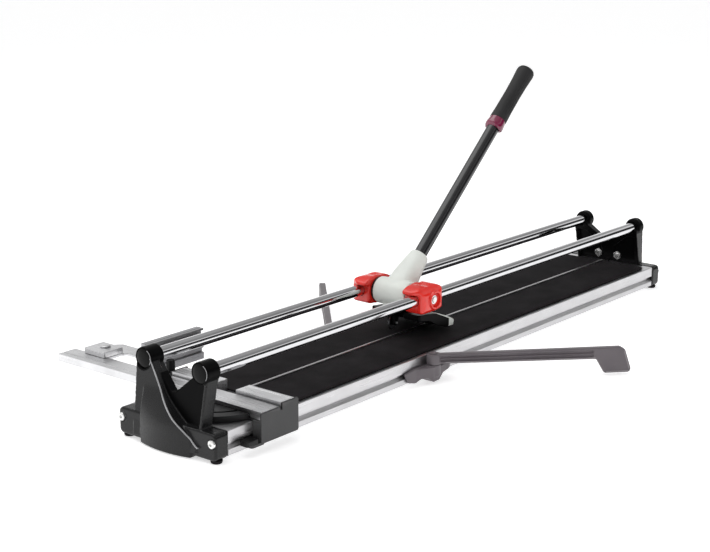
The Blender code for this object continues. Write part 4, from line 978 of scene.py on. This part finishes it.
def end_block(side, name):
    """A block over the bed's edge, with a seat for the clamp lever. The left one stops below the rule
    and carries the lock knob's ledge."""
    front, back, rail_front, bottom = -0.4660, -0.3990, -0.4285, 0.0120
    wall = [(front, bottom, 0.003), (back, bottom, 0.003), (back, 0.0546, 0.002),
            (rail_front, 0.0546, 0.0008), (rail_front, 0.0465), (-0.4318, 0.0465),
            (-0.4318, 0.0504, 0.0008), (front, 0.0504, 0.002)]
    if side < 0:
        wall = wall[:5] + [(rail_front, 0.0397), (front, 0.0397)]
    lower = arcs(rectangle(front, bottom, back, 0.0397), 0.0030, 5)
    seat = arcs([(0.0820, -0.4600), (0.0950, -0.4600), (0.0950, -0.4810, 0.004), (0.0820, -0.4810, 0.004)],
                0, 5)
    adds = [plate(arcs(wall, 0, 5), "YZ", 0.0938, 0.0966, 0.0008, 3), plate(lower, "YZ", 0.0818, 0.0957),
            plate(seat, "XY", 0.0100, 0.0137, 0.0005, 2)]
    if side < 0:
        for bm in adds:
            moved(bm, MIRROR)
        ledge = arcs(rectangle(-0.1100, rail_front, -0.0950, -0.4130), 0.003, 4)
        adds.append(plate(ledge, "XY", 0.0300, 0.0500, 0.0006, 2))
    obj = combined(f"block_{name}", adds)
    finish_piece(obj, "block_plastic", "base", f"end_block_{name}")


def lobed(bm, centre, lobes, depth, radius, above):
    """Scallops an upright knob's edge outside a radius and above a height."""
    for v in bm.verts:
        flat = Vector((v.co.x - centre.x, v.co.y - centre.y, 0))
        if flat.length > radius and v.co.z > above:
            v.co -= flat.normalized() * depth * (0.5 + 0.5 * math.cos(lobes * math.atan2(flat.y, flat.x)))
    return bm


def knobs():
    knob = turned([(0, 0.0170), (0.0046, 0.0170), (0.0056, 0.0160), (0.0060, 0.0148), (0.0060, 0.0030),
                   (0.0048, 0), (0, 0)], LOCK_KNOB, (0, 0, 1), 48)
    lobed(knob, LOCK_KNOB, 8, 0.0005, 0.0050, 0.0525)
    finish_piece(mesh_object("lock_knob", knob), "black_plastic", "rule_knob", "rule_lock_knob")
    head = turned([(0, 0.0024), (0.0062, 0.0024), (0.0070, 0.0021), (0.0074, 0.0015), (0.0074, 0.0006),
                   (0.0068, 0), (0, 0)], STOP_SCREW, (0, 0, 1), 72)
    lobed(head, STOP_SCREW, 24, 0.0003, 0.0069, 0)
    finish_piece(mesh_object("stop_thumbscrew", head), "rule_aluminium", "stop_knob", "stop_screw")


def stop():
    """The stop's block on the rule, its flat bracket and the grooved fence piece it ends in."""
    low, top, left, right = 0.0507, 0.0585, -0.2520, -0.2120
    block = plate(arcs(rectangle(left, -0.4380, right, -0.4040), 0.0020, 4), "XY", low, top, 0.0006, 2)
    finish_piece(mesh_object("stop_block", block), "rule_aluminium", "stop", "stop_slider")
    edge = -0.1423
    arm = arcs([(left, -0.4312), (right, -0.4312), (right, -0.4020, 0.006), (edge, -0.4020), (edge, -0.3770),
                (left + 0.0100, -0.3770, 0.004), (left, -0.3870, 0.004)], 0.0010, 5)
    finish_piece(mesh_object("stop_bracket", plate(arm, "XY", 0.0466, 0.0504, 0.0005, 2)), "rule_aluminium",
                 "stop", "stop_arm")
    near, far = -0.1420, -0.1290
    section = arcs([(near, 0.0425), (far, 0.0425), (far, 0.0520), (-0.1325, 0.0520), (-0.1325, 0.0580),
                    (far, 0.0580), (far, 0.0750), (-0.1335, 0.0750), (-0.1335, 0.0822), (far, 0.0822),
                    (far, 0.0850), (-0.1330, 0.0850), (-0.1334, 0.0844), (-0.1342, 0.0844),
                    (-0.1346, 0.0850), (near, 0.0850)], 0.0003, 2)
    obj = combined("stop_extrusion", [plate(section, "XZ", -0.4360, -0.3350, 0.0003, 1)],
                   [box((-0.16, -0.45, 0.0400), (-0.12, -0.4312, low))])
    finish_piece(obj, "dark_aluminium", "stop", "stop_profile")


add_camera()
add_studio()
carry_over()
support("front_tower", -1, FRONT_HUB)
support("rear_tower", 1, REAR_HUB)
front_web_rib()
rail_and_caps()
end_screws()
tension_bolts()
rubber_feet()
bed_profile()
bed_top()
for side, name in SIDES:
    slider(side, name)
lever()
handle()
breaker()
wheel()
for side, name in SIDES:
    side_arm(side, name)
    arm_base(side, name)
rule()
for side, name in SIDES:
    fence_side(side, name)
fence_plate()
knobs()
stop()
